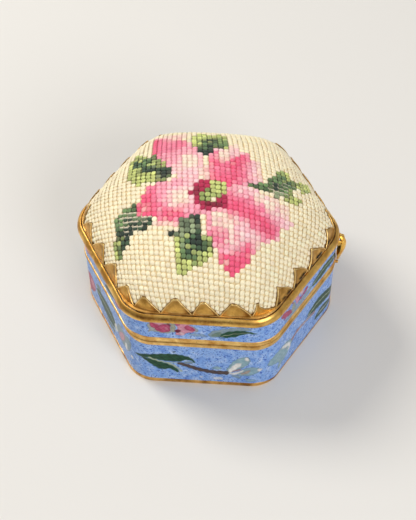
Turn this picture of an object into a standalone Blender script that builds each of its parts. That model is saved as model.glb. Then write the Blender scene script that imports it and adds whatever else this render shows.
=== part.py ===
"""Hexagonal trinket box: enamelled walls between gilt rims, a hinged lid with a needlepoint cushion held by prongs.

Units are metres and +Z is up. The origin is the centre of the flat underside. The front flat faces -Y, and two of the
six corners lie on the X axis. The lid turns on a three-knuckle hinge on the back left flat, and a small bowed hasp hangs
from the lid at the +X corner and closes over a bead on the base.
"""
import math

import bmesh
import bpy
import numpy as np
from mathutils import Matrix, Vector

# Driving sizes of the body, measured on the enamel
ACROSS_CORNERS = 0.0647
ACROSS_FLATS = 0.0549
CORNER_RADIUS = 0.0080
BASE_HEIGHT = 0.0177
LID_HEIGHT = 0.0103
WALL = 0.0010
TOUCH_GAP = 0.0003
EDGE_ROUNDING = 0.0002

# Base
FLOOR_THICKNESS = 0.0010
FOOT_RIM_HEIGHT = 0.0015
FOOT_RIM_PROUD = 0.0003
MOUTH_RIM_HEIGHT = 0.0016
MOUTH_RIM_PROUD = 0.0006
COLLAR_THICKNESS = 0.0004
COLLAR_RISE = 0.0017
COLLAR_DROP = 0.0055

# Lid
BEZEL_HEIGHT = 0.0015
BEZEL_PROUD = 0.0007
BEZEL_WIDTH = 0.0012
BEZEL_ROUNDING = 0.0004
CUSHION_SEAT_DEPTH = 0.00315
DECK_THICKNESS = 0.0006
CARD_THICKNESS = 0.0008

# Cushion and the saw-tooth collar that holds it
CUSHION_RISE = 0.0155
COVER_THICKNESS = 0.0005
CROWN_POWER_SHARES = (2.2, 2.1)
PRONG_COUNT = 28
PRONG_RISE = 0.0043
PRONG_THICKNESS = 0.00035
PRONG_VALLEY_RISE = 0.00025

# Lid hinge
HINGE_LENGTH = 0.0138
KNUCKLE_RADIUS = 0.0011
HINGE_PIN_RADIUS = 0.0004
HINGE_HEAD_RADIUS = 0.0009
HINGE_HEAD_THICKNESS = 0.0005
LEAF_THICKNESS = 0.0007
LEAF_FOOT_HEIGHT = 0.0026

# Clasp
CLASP_WIDTH = 0.0046
CLASP_BARREL_RADIUS = 0.0010
CLASP_BARREL_SHARE = 0.46
CLASP_PIN_RADIUS = 0.0003
CLASP_PIN_OVERHANG = 0.0002
CLASP_EAR_RADIUS = 0.0009
BRACKET_HEIGHT = 0.0024
BRACKET_THICKNESS = 0.0004
HASP_WIDTH = 0.0032
HASP_THICKNESS = 0.0005
HASP_BOW = 0.0016
KEEPER_RADIUS = 0.0006
KEEPER_LENGTH = 0.0024

# Fineness of the facets
CORNER_STEPS = 6
CROWN_RINGS = 11
PRONG_COLUMNS = 4
PRONG_ROWS = 3
ROUND_SEGMENTS = 20
HASP_STEPS = 12
BEVEL_SEGMENTS = 2
SHARP_EDGE_ANGLE = math.radians(50)
CUT_OVERRUN = 0.0010
CUT_OVERLAP = 0.0001

# Levels worked out from the driving sizes
PARTING_LEVEL = BASE_HEIGHT
RIM_TOP = BASE_HEIGHT + LID_HEIGHT
HALF_GAP = TOUCH_GAP / 2
BASE_RIM_BOTTOM = PARTING_LEVEL - HALF_GAP - MOUTH_RIM_HEIGHT
LID_RIM_TOP = PARTING_LEVEL + HALF_GAP + MOUTH_RIM_HEIGHT
BEZEL_BOTTOM = RIM_TOP - BEZEL_HEIGHT
LID_WALL_TOP = BEZEL_BOTTOM - TOUCH_GAP
COVER_OFFSET = BEZEL_PROUD - BEZEL_WIDTH - TOUCH_GAP - PRONG_THICKNESS - TOUCH_GAP
DECK_TOP = RIM_TOP - CUSHION_SEAT_DEPTH
CARD_BOTTOM = DECK_TOP + TOUCH_GAP
COVER_FOOT = CARD_BOTTOM
COVER_RISE = RIM_TOP + CUSHION_RISE - COVER_FOOT

MATERIALS = {
    "gilt": ((0.72, 0.48, 0.16), 0.28, 1.0),
    "enamel": ((0.22, 0.38, 0.80), 0.18, 0.0),
    "floor_enamel": ((0.30, 0.42, 0.74), 0.22, 0.0),
    "cotton": ((0.88, 0.80, 0.62), 0.85, 0.0),
    "wadding": ((0.93, 0.92, 0.88), 0.95, 0.0),
    "card": ((0.66, 0.58, 0.46), 0.90, 0.0),
}


# Scene helpers

def clear_scene():
    for item in list(bpy.data.objects):
        bpy.data.objects.remove(item, do_unlink=True)


def new_collection(name):
    collection = bpy.data.collections.new(name)
    bpy.context.scene.collection.children.link(collection)
    return collection


def set_material(item, finish):
    """Gives the piece a Principled material of its own in one of the finishes."""
    colour, roughness, metallic = MATERIALS[finish]
    material = bpy.data.materials.new(item.name + "_" + finish)
    material.use_nodes = True
    shader = material.node_tree.nodes["Principled BSDF"]
    shader.inputs["Base Color"].default_value = (*colour, 1.0)
    shader.inputs["Roughness"].default_value = roughness
    shader.inputs["Metallic"].default_value = metallic
    item.data.materials.append(material)


def add_object(name, bm, finish, parent=None):
    """Makes an object of the part from a bmesh, in its parent's space."""
    mesh = bpy.data.meshes.new(name)
    bm.to_mesh(mesh)
    bm.free()
    item = bpy.data.objects.new(name, mesh)
    parts.objects.link(item)
    item.parent = parent
    set_material(item, finish)
    return item


def add_frame(name, location, turn=0.0):
    """An empty that carries a joint's pieces: its Z is up and its X is turned from the world's X."""
    frame = bpy.data.objects.new(name, None)
    frame.location = location
    frame.rotation_euler = (0.0, 0.0, turn)
    parts.objects.link(frame)
    return frame


def solidify(item, thickness):
    """Thickens an open surface to the side away from its normals."""
    modifier = item.modifiers.new("thickness", "SOLIDIFY")
    modifier.thickness = thickness
    modifier.offset = -1.0
    modifier.use_even_offset = True
    return modifier


def round_edges(item, radius):
    modifier = item.modifiers.new("rounded_edges", "BEVEL")
    modifier.width = radius
    modifier.segments = BEVEL_SEGMENTS
    modifier.limit_method = "ANGLE"
    modifier.angle_limit = SHARP_EDGE_ANGLE
    return modifier


def combine(item, other, operation):
    modifier = item.modifiers.new(operation.lower(), "BOOLEAN")
    modifier.operation = operation
    modifier.solver = "EXACT"
    modifier.object = other
    return modifier


def as_tool(item):
    """Moves a helper solid to the cutters, where it is neither built nor rendered."""
    parts.objects.unlink(item)
    cutters.objects.link(item)
    item.hide_render = True
    item.display_type = "WIRE"
    item.data.materials.clear()
    return item


def box(name, low, high, finish, parent=None):
    """A box between two corners, in its parent's space."""
    bm = bmesh.new()
    bmesh.ops.create_cube(bm, size=1.0)
    size = Vector(high) - Vector(low)
    bmesh.ops.scale(bm, vec=size, verts=bm.verts)
    bmesh.ops.translate(bm, vec=(Vector(high) + Vector(low)) / 2, verts=bm.verts)
    return add_object(name, bm, finish, parent)


def cylinder(name, radius, length, centre, along, finish, parent=None):
    """A round bar centred at a point of its parent's space and lying along a direction."""
    bm = bmesh.new()
    turn = Vector((0.0, 0.0, 1.0)).rotation_difference(Vector(along)).to_matrix().to_4x4()
    bmesh.ops.create_cone(bm, cap_ends=True, segments=ROUND_SEGMENTS, radius1=radius, radius2=radius,
                          depth=length, matrix=Matrix.Translation(centre) @ turn)
    return add_object(name, bm, finish, parent)


# The hexagon that every layer follows

def sharp_corners():
    """Corners of the enamel's hexagon, counter-clockwise from the +X corner."""
    half_width, half_depth = ACROSS_CORNERS / 2, ACROSS_FLATS / 2
    return [Vector((half_width, 0.0)), Vector((half_width / 2, half_depth)), Vector((-half_width / 2, half_depth)),
            Vector((-half_width, 0.0)), Vector((-half_width / 2, -half_depth)), Vector((half_width / 2, -half_depth))]


def side_normal(index):
    """Outward normal of the side that runs from a corner to the next one."""
    corners = sharp_corners()
    run = (corners[(index + 1) % 6] - corners[index % 6]).normalized()
    return Vector((run.y, -run.x))


def side_middle(index, offset):
    corners = sharp_corners()
    middle = (corners[index % 6] + corners[(index + 1) % 6]) / 2
    return middle + side_normal(index) * offset


def outline(offset):
    """Rounded hexagon at a distance outside the enamel, as (point, normal) pairs, counter-clockwise."""
    pairs = []
    for index, corner in enumerate(sharp_corners()):
        before, after = side_normal(index - 1), side_normal(index)
        centre = corner - (before + after) * (CORNER_RADIUS / (1 + before.dot(after)))
        start = math.atan2(before.y, before.x)
        sweep = before.angle(after)
        for step in range(CORNER_STEPS + 1):
            angle = start + sweep * step / CORNER_STEPS
            normal = Vector((math.cos(angle), math.sin(angle)))
            pairs.append((centre + normal * (CORNER_RADIUS + offset), normal))
    return pairs


def corner_reach(offset):
    """Distance from the centre to the rounded +X corner at an offset from the enamel."""
    return max(point.x for point, normal in outline(offset))


def along_outline(offset, shares):
    """Points of the rounded hexagon at shares of its length, starting at the middle of the front flat."""
    points = np.array([tuple(point) for point, normal in outline(offset)])
    front = np.array(side_middle(4, offset))
    ring = np.vstack([front, points[-(CORNER_STEPS + 1):], points[:-(CORNER_STEPS + 1)], front])
    reach = np.concatenate([[0.0], np.cumsum(np.hypot(*np.diff(ring, axis=0).T))])
    wanted = np.array(shares) * reach[-1]
    return np.column_stack([np.interp(wanted, reach, ring[:, axis]) for axis in (0, 1)])


def ring(name, outer_offset, thickness, bottom, top, finish, rounding=EDGE_ROUNDING):
    """A band round the hexagon: its outline is raised to an open wall, thickened inwards and softened."""
    bm = bmesh.new()
    verts = [bm.verts.new((point.x, point.y, bottom)) for point, normal in outline(outer_offset)]
    edges = [bm.edges.new((verts[index - 1], verts[index])) for index in range(len(verts))]
    raised = bmesh.ops.extrude_edge_only(bm, edges=edges)["geom"]
    lifted = [item for item in raised if isinstance(item, bmesh.types.BMVert)]
    bmesh.ops.translate(bm, vec=(0.0, 0.0, top - bottom), verts=lifted)
    for face in bm.faces:
        face.normal_update()
        if face.normal.dot(face.calc_center_median()) < 0.0:
            face.normal_flip()
    item = add_object(name, bm, finish)
    solidify(item, thickness)
    if rounding:
        round_edges(item, rounding)
    return item


def plate(name, offset, bottom, top, finish):
    """A flat plate with the hexagon's outline."""
    bm = bmesh.new()
    face = bm.faces.new([bm.verts.new((point.x, point.y, top)) for point, normal in outline(offset)])
    face.normal_update()
    item = add_object(name, bm, finish)
    solidify(item, top - bottom)
    return item


# The cushion's crown

def crown_height(spread):
    """Height of the crown, as a share, at a share of the way from its centre to its foot."""
    outer, inner = CROWN_POWER_SHARES
    return (1.0 - np.minimum(spread, 1.0) ** outer) ** (1.0 / inner)


def crown_spread(height):
    """Inverse of crown_height."""
    outer, inner = CROWN_POWER_SHARES
    return (1.0 - np.minimum(height, 1.0) ** inner) ** (1.0 / outer)


def crown_contour(foot, spread):
    """Level line of the crown: the foot's hexagon drawn in, and rounder the nearer it is to the centre."""
    reach = np.hypot(*foot.T)
    rounded = foot * (reach.min() / reach)[:, None]
    hexagonal = spread ** 2
    return spread * (foot * hexagonal + rounded * (1.0 - hexagonal))


def crown_rings(offset, rise, foot_level):
    """Rings of points from the crown's foot to just short of its centre."""
    foot = np.array([tuple(point) for point, normal in outline(offset)])
    rings = []
    for step in range(CROWN_RINGS):
        spread = math.cos(math.pi / 2 * step / CROWN_RINGS)
        level = foot_level + rise * crown_height(spread)
        rings.append([(x, y, level) for x, y in crown_contour(foot, spread)])
    return rings


def crown_mesh(offset, rise, foot_level, closed):
    """Lofts the rings, which are unlike sections, and closes the foot where the piece is solid."""
    bm = bmesh.new()
    rows = [[bm.verts.new(point) for point in row] for row in crown_rings(offset, rise, foot_level)]
    for lower, upper in zip(rows[:-1], rows[1:]):
        for index in range(len(lower)):
            bm.faces.new((lower[index - 1], lower[index], upper[index], upper[index - 1]))
    centre = bm.verts.new((0.0, 0.0, foot_level + rise))
    for index in range(len(rows[-1])):
        bm.faces.new((rows[-1][index - 1], rows[-1][index], centre))
    if closed:
        bm.faces.new(list(reversed(rows[0])))
    return bm


# Base

def make_base():
    plate("base_floor", -WALL - TOUCH_GAP, 0.0, FLOOR_THICKNESS, "floor_enamel")
    ring("base_foot_rim", FOOT_RIM_PROUD, WALL + FOOT_RIM_PROUD, 0.0, FOOT_RIM_HEIGHT, "gilt")
    ring("base_wall", 0.0, WALL, FOOT_RIM_HEIGHT + TOUCH_GAP, BASE_RIM_BOTTOM - TOUCH_GAP, "enamel", 0.0)
    ring("base_mouth_rim", MOUTH_RIM_PROUD, WALL + MOUTH_RIM_PROUD, BASE_RIM_BOTTOM,
         BASE_RIM_BOTTOM + MOUTH_RIM_HEIGHT, "gilt")
    ring("base_collar", -WALL - TOUCH_GAP, COLLAR_THICKNESS, PARTING_LEVEL - COLLAR_DROP,
         PARTING_LEVEL + COLLAR_RISE, "gilt", 0.0)


# Lid

def make_lid():
    ring("lid_mouth_rim", MOUTH_RIM_PROUD, WALL + MOUTH_RIM_PROUD, LID_RIM_TOP - MOUTH_RIM_HEIGHT,
         LID_RIM_TOP, "gilt")
    ring("lid_wall", 0.0, WALL, LID_RIM_TOP + TOUCH_GAP, LID_WALL_TOP, "enamel", 0.0)
    ring("lid_bezel", BEZEL_PROUD, BEZEL_WIDTH, BEZEL_BOTTOM, RIM_TOP, "gilt", BEZEL_ROUNDING)
    plate("lid_deck", -WALL - TOUCH_GAP, DECK_TOP - DECK_THICKNESS, DECK_TOP, "gilt")


def make_cushion():
    """Card, wadding and the embroidered cover, one inside the other."""
    inner_offset = COVER_OFFSET - COVER_THICKNESS - TOUCH_GAP
    plate("cushion_card", inner_offset, CARD_BOTTOM, CARD_BOTTOM + CARD_THICKNESS, "card")
    padding_foot = CARD_BOTTOM + CARD_THICKNESS + TOUCH_GAP
    padding_rise = COVER_FOOT + COVER_RISE - COVER_THICKNESS - TOUCH_GAP - padding_foot
    bm = crown_mesh(inner_offset - TOUCH_GAP, padding_rise, padding_foot, closed=True)
    padding = add_object("cushion_padding", bm, "wadding")
    padding.data.shade_smooth()
    bm = crown_mesh(COVER_OFFSET, COVER_RISE, COVER_FOOT, closed=False)
    cover = add_object("needlepoint_cover", bm, "cotton")
    cover.data.shade_smooth()
    solidify(cover, COVER_THICKNESS)


def make_prong_collar():
    """A strip cut into teeth, which lean in over the cushion's edge a touch gap clear of it."""
    columns = PRONG_COUNT * PRONG_COLUMNS
    shares = np.arange(columns) / columns
    foot = along_outline(COVER_OFFSET + TOUCH_GAP + PRONG_THICKNESS, shares)
    phase = np.arange(columns) % PRONG_COLUMNS / PRONG_COLUMNS
    tooth = 1.0 - np.abs(2.0 * phase - 1.0)
    tops = RIM_TOP + PRONG_VALLEY_RISE + (PRONG_RISE - PRONG_VALLEY_RISE) * tooth
    rise = COVER_RISE + TOUCH_GAP + PRONG_THICKNESS
    bm = bmesh.new()
    rows = []
    for row in range(PRONG_ROWS + 2):
        up = max(row - 1, 0) / PRONG_ROWS
        levels = BEZEL_BOTTOM + (RIM_TOP - BEZEL_BOTTOM) * min(row, 1) + (tops - RIM_TOP) * up
        spreads = crown_spread((levels - COVER_FOOT) / rise)
        points = [crown_contour(foot, spread)[index] for index, spread in enumerate(spreads)]
        rows.append([bm.verts.new((x, y, level)) for (x, y), level in zip(points, levels)])
    for lower, upper in zip(rows[:-1], rows[1:]):
        for index in range(columns):
            bm.faces.new((lower[index - 1], lower[index], upper[index], upper[index - 1]))
    solidify(add_object("prong_collar", bm, "gilt"), PRONG_THICKNESS)


# Lid hinge, in a frame on its axis: X runs along the pin, Y points away from the box

def make_hinge():
    axis_offset = MOUTH_RIM_PROUD + TOUCH_GAP + KNUCKLE_RADIUS
    middle = side_middle(2, axis_offset)
    normal = side_normal(2)
    frame = add_frame("hinge_axis", (middle.x, middle.y, PARTING_LEVEL), math.atan2(normal.y, normal.x) - math.pi / 2)
    knuckle = (HINGE_LENGTH - 2 * TOUCH_GAP) / 3
    pitch = knuckle + TOUCH_GAP
    leaf_back = MOUTH_RIM_PROUD + TOUCH_GAP - axis_offset
    foot_back = TOUCH_GAP - axis_offset
    leaf_face = leaf_back + LEAF_THICKNESS
    foot_near = MOUTH_RIM_HEIGHT + HALF_GAP + TOUCH_GAP
    bore = as_tool(cylinder("hinge_bore", HINGE_PIN_RADIUS + TOUCH_GAP, HINGE_LENGTH + CUT_OVERRUN,
                            (0.0, 0.0, 0.0), (1.0, 0.0, 0.0), "gilt", frame))
    for name, middles, side in (("hinge_base_leaf", (0.0,), -1.0), ("hinge_lid_leaf", (-pitch, pitch), 1.0)):
        low, high = sorted((side * foot_near, side * (foot_near + LEAF_FOOT_HEIGHT)))
        leaf = box(name, (-HINGE_LENGTH / 2, foot_back, low), (HINGE_LENGTH / 2, leaf_face, high), "gilt", frame)
        for number, place in enumerate(middles):
            low, high = sorted((0.0, side * (foot_near + LEAF_THICKNESS)))
            neck = box(f"{name}_neck_{number}", (place - knuckle / 2, leaf_back, low),
                       (place + knuckle / 2, leaf_face, high), "gilt", frame)
            barrel = cylinder(f"{name}_knuckle_{number}", KNUCKLE_RADIUS, knuckle, (place, 0.0, 0.0),
                              (1.0, 0.0, 0.0), "gilt", frame)
            combine(leaf, as_tool(neck), "UNION")
            combine(leaf, as_tool(barrel), "UNION")
        combine(leaf, bore, "DIFFERENCE")
    pin_length = HINGE_LENGTH + 2 * TOUCH_GAP + HINGE_HEAD_THICKNESS
    pin = cylinder("hinge_pin", HINGE_PIN_RADIUS, pin_length, (0.0, 0.0, 0.0), (1.0, 0.0, 0.0), "gilt", frame)
    for side in (-1.0, 1.0):
        place = side * (HINGE_LENGTH / 2 + TOUCH_GAP + HINGE_HEAD_THICKNESS / 2)
        head = cylinder(f"hinge_pin_head_{int(side)}", HINGE_HEAD_RADIUS, HINGE_HEAD_THICKNESS,
                        (place, 0.0, 0.0), (1.0, 0.0, 0.0), "gilt", frame)
        combine(pin, as_tool(head), "UNION")


# Clasp, in a frame on its pin: X points away from the box, Y runs along the pin

def make_clasp():
    wall = corner_reach(0.0)
    pivot_x = wall + TOUCH_GAP + CLASP_BARREL_RADIUS
    pivot_z = BEZEL_BOTTOM - TOUCH_GAP - CLASP_BARREL_RADIUS
    frame = add_frame("clasp_axis", (pivot_x, 0.0, pivot_z))
    barrel_width = CLASP_WIDTH * CLASP_BARREL_SHARE
    ear = (CLASP_WIDTH - barrel_width) / 2 - TOUCH_GAP
    ear_place = (CLASP_WIDTH - ear) / 2
    along = (0.0, 1.0, 0.0)

    bore = as_tool(cylinder("clasp_bore", CLASP_PIN_RADIUS + TOUCH_GAP, CLASP_WIDTH + CUT_OVERRUN,
                            (0.0, 0.0, 0.0), along, "gilt", frame))
    slot = as_tool(cylinder("clasp_slot", CLASP_BARREL_RADIUS + TOUCH_GAP, barrel_width + 2 * TOUCH_GAP,
                            (0.0, 0.0, 0.0), along, "gilt", frame))
    bracket = box("clasp_bracket", (-CLASP_BARREL_RADIUS, -CLASP_WIDTH / 2, -BRACKET_HEIGHT),
                  (BRACKET_THICKNESS - CLASP_BARREL_RADIUS, CLASP_WIDTH / 2, 0.0), "gilt", frame)
    for side in (-1.0, 1.0):
        cheek = cylinder(f"clasp_ear_{int(side)}", CLASP_EAR_RADIUS, ear + CUT_OVERLAP,
                         (0.0, side * (ear_place - CUT_OVERLAP), 0.0), along, "gilt", frame)
        combine(bracket, as_tool(cheek), "UNION")
    combine(bracket, slot, "DIFFERENCE")
    combine(bracket, bore, "DIFFERENCE")

    cylinder("clasp_pin", CLASP_PIN_RADIUS, CLASP_WIDTH + 2 * CLASP_PIN_OVERHANG, (0.0, 0.0, 0.0), along, "gilt", frame)

    keeper_x = corner_reach(MOUTH_RIM_PROUD) + TOUCH_GAP + KEEPER_RADIUS
    keeper_z = BASE_RIM_BOTTOM + MOUTH_RIM_HEIGHT / 2 - TOUCH_GAP
    cylinder("clasp_keeper", KEEPER_RADIUS, KEEPER_LENGTH, (keeper_x, 0.0, keeper_z), along, "gilt")

    tip_x = corner_reach(MOUTH_RIM_PROUD) + TOUCH_GAP + HASP_THICKNESS - pivot_x
    tip_z = keeper_z + KEEPER_RADIUS + TOUCH_GAP - pivot_z
    hasp = make_hasp_leaf(frame, tip_x, tip_z, (barrel_width - TOUCH_GAP) / 2)
    barrel = cylinder("hasp_barrel", CLASP_BARREL_RADIUS, barrel_width, (0.0, 0.0, 0.0), along, "gilt", frame)
    combine(hasp, as_tool(barrel), "UNION")
    combine(hasp, bore, "DIFFERENCE")


def make_hasp_leaf(frame, tip_x, tip_z, neck):
    """The bowed leaf: it leaves the barrel's outer side, swells outwards and turns in to just above the keeper."""
    top_x = CLASP_EAR_RADIUS - HALF_GAP
    bm = bmesh.new()
    rows = []
    for step in range(HASP_STEPS + 1):
        share = step / HASP_STEPS
        bow = HASP_BOW * math.sin(math.pi * share)
        x = top_x + (tip_x - top_x) * share + bow
        z = tip_z * share
        half = neck + (HASP_WIDTH / 2 - neck) * math.sin(math.pi * share)
        rows.append([bm.verts.new((x, side * half, z)) for side in (-1.0, 1.0)])
    for upper, lower in zip(rows[:-1], rows[1:]):
        bm.faces.new((upper[0], lower[0], lower[1], upper[1]))
    hasp = add_object("clasp_hasp", bm, "gilt", frame)
    solidify(hasp, HASP_THICKNESS)
    return hasp


clear_scene()
parts = new_collection("trinket_box")
cutters = new_collection("cutters")
make_base()
make_lid()
make_cushion()
make_prong_collar()
make_hinge()
make_clasp()
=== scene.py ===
"""Dresses the hexagonal trinket box: painted enamel, gilt rims and teeth, and a lid cushion in petit point.

Units are metres, +Z is up and the front flat faces -Y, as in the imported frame. Most shapes are surfaces
worked out with numpy: sections carried round the hexagon, a crown over the lid, and two strands a stitch.
"""
import math

import bpy
import numpy as np
from mathutils import Matrix, Vector


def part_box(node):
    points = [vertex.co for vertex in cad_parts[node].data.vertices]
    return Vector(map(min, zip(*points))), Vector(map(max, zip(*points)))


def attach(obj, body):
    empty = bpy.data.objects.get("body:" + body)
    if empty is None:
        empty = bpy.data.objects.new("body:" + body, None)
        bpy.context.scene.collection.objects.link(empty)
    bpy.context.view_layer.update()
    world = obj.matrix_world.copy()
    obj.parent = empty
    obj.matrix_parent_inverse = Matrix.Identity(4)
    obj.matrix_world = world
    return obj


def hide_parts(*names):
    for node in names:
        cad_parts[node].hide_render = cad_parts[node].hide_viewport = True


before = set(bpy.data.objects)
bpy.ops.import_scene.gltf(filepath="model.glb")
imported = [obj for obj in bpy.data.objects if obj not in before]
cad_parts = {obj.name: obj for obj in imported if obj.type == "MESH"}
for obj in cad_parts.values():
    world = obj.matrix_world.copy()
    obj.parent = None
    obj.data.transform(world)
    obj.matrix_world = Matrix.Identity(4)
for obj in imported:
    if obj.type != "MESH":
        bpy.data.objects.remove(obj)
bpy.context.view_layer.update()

MM = 0.001

# Enamelled hexagon and the levels of its rims, as the frame has them
WALL_LOW, WALL_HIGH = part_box("base_wall")
ACROSS_CORNERS = 64.7 * MM
ACROSS_FLATS = WALL_HIGH[1] - WALL_LOW[1]
CORNER_RADIUS = 8.0 * MM
WALL = 1.0 * MM
PARTING = (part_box("base_mouth_rim")[1][2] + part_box("lid_mouth_rim")[0][2]) / 2
BEZEL_LOW, BEZEL_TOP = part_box("lid_bezel")[0][2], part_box("lid_bezel")[1][2]

# Middle of the hasp's pin, as in the frame
HASP_PIVOT = np.array([32.3644, 0.0, 25.2]) * MM

# How the lid's top was seated: bezel, teeth and cushion stand a little off the wall's middle
TOP_SHIFT = np.array([-0.3, 0.2]) * MM

# Cushion crown: its foot and top, how full it is, how far its foot is drawn in, and how that foot is cornered
CROWN_FOOT, CROWN_TOP = 28.4 * MM, 44.0 * MM
CROWN_OUTER, CROWN_INNER = 1.9, 1.55
FOOT_OFFSET, FOOT_LEAN = -0.55 * MM, 0.42 * MM
FOOT_POWER, FULLNESS, FOOT_BLEND = 12.0, 1.085, 1.5

# Canvas of the petit point: its turn, its pitches, and the most stitches to either side of the middle
CANVAS_TURN = math.radians(6.4)
COLUMN_PITCH = 1.280 * MM
ROW_PITCH = 1.243 * MM
STITCH_COLUMNS = 34
STITCH_ROWS = 42

# How a stitch leans, how high it stands, how deep it is sunk, and how deep the canvas lies under the crown
STITCH_LEAN = math.radians(12.0)
STITCH_LIFT, STITCH_SUNK, CANVAS_DEPTH = 0.38 * MM, 0.14 * MM, 0.21 * MM

# Camera that the edges in the photograph give, and the photograph's height
PHOTO_HEIGHT_PX = 520
FOCAL_PX = 1215.1
VIEW_AZIMUTH = math.radians(4.986)
VIEW_ELEVATION = math.radians(52.776)
VIEW_ROLL = math.radians(-0.912)
VIEW_DISTANCE = 308.5 * MM
VIEW_TARGET_HEIGHT = 9.8 * MM
VIEW_RIGHT = -0.42 * MM
VIEW_UP = 2.63 * MM
SENSOR_MM = 36.0

rng = np.random.default_rng(7)


# Colour helpers

def linear(red, green, blue):
    """An 0 to 255 screen colour as linear light."""
    value = np.array([red, green, blue]) / 255.0
    return np.where(value <= 0.04045, value / 12.92, ((value + 0.055) / 1.055) ** 2.4)


def rgba(colour):
    """A colour with full opacity, as sockets take it."""
    return (*[float(part) for part in colour], 1.0)


# Mesh helpers

def grid_quads(rows, columns, wrap_rows=False, wrap_columns=False):
    """Quads of a grid of rows by columns, facing the side that columns cross rows points to."""
    row = np.arange(rows if wrap_rows else rows - 1)[:, None]
    column = np.arange(columns if wrap_columns else columns - 1)[None, :]
    above, beside = (row + 1) % rows, (column + 1) % columns
    quads = np.stack(np.broadcast_arrays(row * columns + column, row * columns + beside,
                                         above * columns + beside, above * columns + column), axis=-1)
    return quads.reshape(-1, 4)


def end_fans(rows, ring):
    """Triangles that close both ends of stacked rings, round two points that follow the last ring."""
    start = np.arange(ring)
    following = (start + 1) % ring
    top = (rows - 1) * ring
    lower = np.stack([following, start, np.full(ring, rows * ring)], axis=-1)
    upper = np.stack([top + start, top + following, np.full(ring, rows * ring + 1)], axis=-1)
    return np.vstack([lower, upper])


def end_caps(rows, ring):
    """Triangles that close both ends of stacked rings, each from the first point of its end."""
    first = np.arange(1, ring - 1)
    cap = np.stack([np.zeros(ring - 2, dtype=int), first + 1, first], axis=-1)
    return np.vstack([cap, (rows - 1) * ring + cap[:, ::-1]])


def repeat_faces(faces, count, size):
    """The faces of count shapes that follow each other, from the faces of one shape of size points."""
    steps = (np.arange(count) * size)[:, None, None]
    return (faces[None] + steps).reshape(-1, faces.shape[1])


def make_piece(name, points, quads, triangles=None, colours=None, extra=None):
    """Builds a smooth mesh piece from arrays; colours fill the attribute Paint, extra the attribute Cover."""
    points = np.ascontiguousarray(points, dtype=np.float32).reshape(-1, 3)
    triangles = np.zeros((0, 3), dtype=int) if triangles is None else triangles
    corners = np.concatenate([quads.ravel(), triangles.ravel()]).astype(np.int32)
    totals = np.concatenate([np.full(len(quads), 4), np.full(len(triangles), 3)]).astype(np.int32)
    starts = np.concatenate([[0], np.cumsum(totals)[:-1]]).astype(np.int32)
    mesh = bpy.data.meshes.new(name)
    mesh.vertices.add(len(points))
    mesh.vertices.foreach_set("co", points.ravel())
    mesh.loops.add(len(corners))
    mesh.loops.foreach_set("vertex_index", corners)
    mesh.polygons.add(len(totals))
    mesh.polygons.foreach_set("loop_start", starts)
    mesh.polygons.foreach_set("loop_total", totals)
    mesh.polygons.foreach_set("use_smooth", np.ones(len(totals), dtype=bool))
    mesh.update(calc_edges=True)
    for label, values in (("Paint", colours), ("Cover", extra)):
        if values is None:
            continue
        values = np.asarray(values, dtype=np.float32).reshape(len(points), -1)
        if values.shape[1] == 1:
            attribute = mesh.attributes.new(label, "FLOAT", "POINT")
            attribute.data.foreach_set("value", values.ravel())
        else:
            attribute = mesh.attributes.new(label, "FLOAT_COLOR", "POINT")
            full = np.ones((len(points), 4), dtype=np.float32)
            full[:, :values.shape[1]] = values
            attribute.data.foreach_set("color", full.ravel())
    piece = bpy.data.objects.new(name, mesh)
    bpy.context.scene.collection.objects.link(piece)
    return piece


def dress(piece, body, material, slot, *nodes):
    """Gives a piece its material, and says what it rides on and stands for; its slot is not used."""
    piece.data.materials.clear()
    piece.data.materials.append(material)
    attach(piece, body)
    if nodes:
        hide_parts(*nodes)
    return piece


# The hexagon that every band follows

def hexagon_table(samples=40):
    """Distance run from the middle of the front flat, points and outward normals of the rounded hexagon."""
    half_width, half_depth = ACROSS_CORNERS / 2, ACROSS_FLATS / 2
    corners = np.array([[half_width / 2, -half_depth], [half_width, 0.0], [half_width / 2, half_depth],
                        [-half_width / 2, half_depth], [-half_width, 0.0], [-half_width / 2, -half_depth]])
    runs = np.roll(corners, -1, axis=0) - corners
    after = np.column_stack([runs[:, 1], -runs[:, 0]]) / np.hypot(*runs.T)[:, None]
    before = np.roll(after, 1, axis=0)
    middles = corners - (before + after) * CORNER_RADIUS / (1.0 + (before * after).sum(1))[:, None]
    start = np.arctan2(before[:, 1], before[:, 0])
    sweep = np.arccos((before * after).sum(1))
    angles = start[:, None] + sweep[:, None] * np.linspace(0.0, 1.0, samples)
    normals = np.stack([np.cos(angles), np.sin(angles)], axis=-1)
    points = middles[:, None, :] + normals * CORNER_RADIUS
    front = np.array([[0.0, -half_depth]])
    facing = np.array([[0.0, -1.0]])
    points = np.vstack([front, points.reshape(-1, 2), front])
    normals = np.vstack([facing, normals.reshape(-1, 2), facing])
    reach = np.concatenate([[0.0], np.cumsum(np.hypot(*np.diff(points, axis=0).T))])
    return reach, points, normals


HEX_REACH, HEX_POINTS, HEX_NORMALS = hexagon_table()
HEX_LENGTH = HEX_REACH[-1]


def along_hexagon(run, offset):
    """Points at distances run round the enamel and offset outside it, with their outward normals."""
    run = np.mod(run, HEX_LENGTH)
    point = np.stack([np.interp(run, HEX_REACH, HEX_POINTS[:, axis]) for axis in (0, 1)], axis=-1)
    normal = np.stack([np.interp(run, HEX_REACH, HEX_NORMALS[:, axis]) for axis in (0, 1)], axis=-1)
    normal /= np.linalg.norm(normal, axis=-1, keepdims=True)
    return point + normal * np.asarray(offset)[..., None], normal


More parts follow.
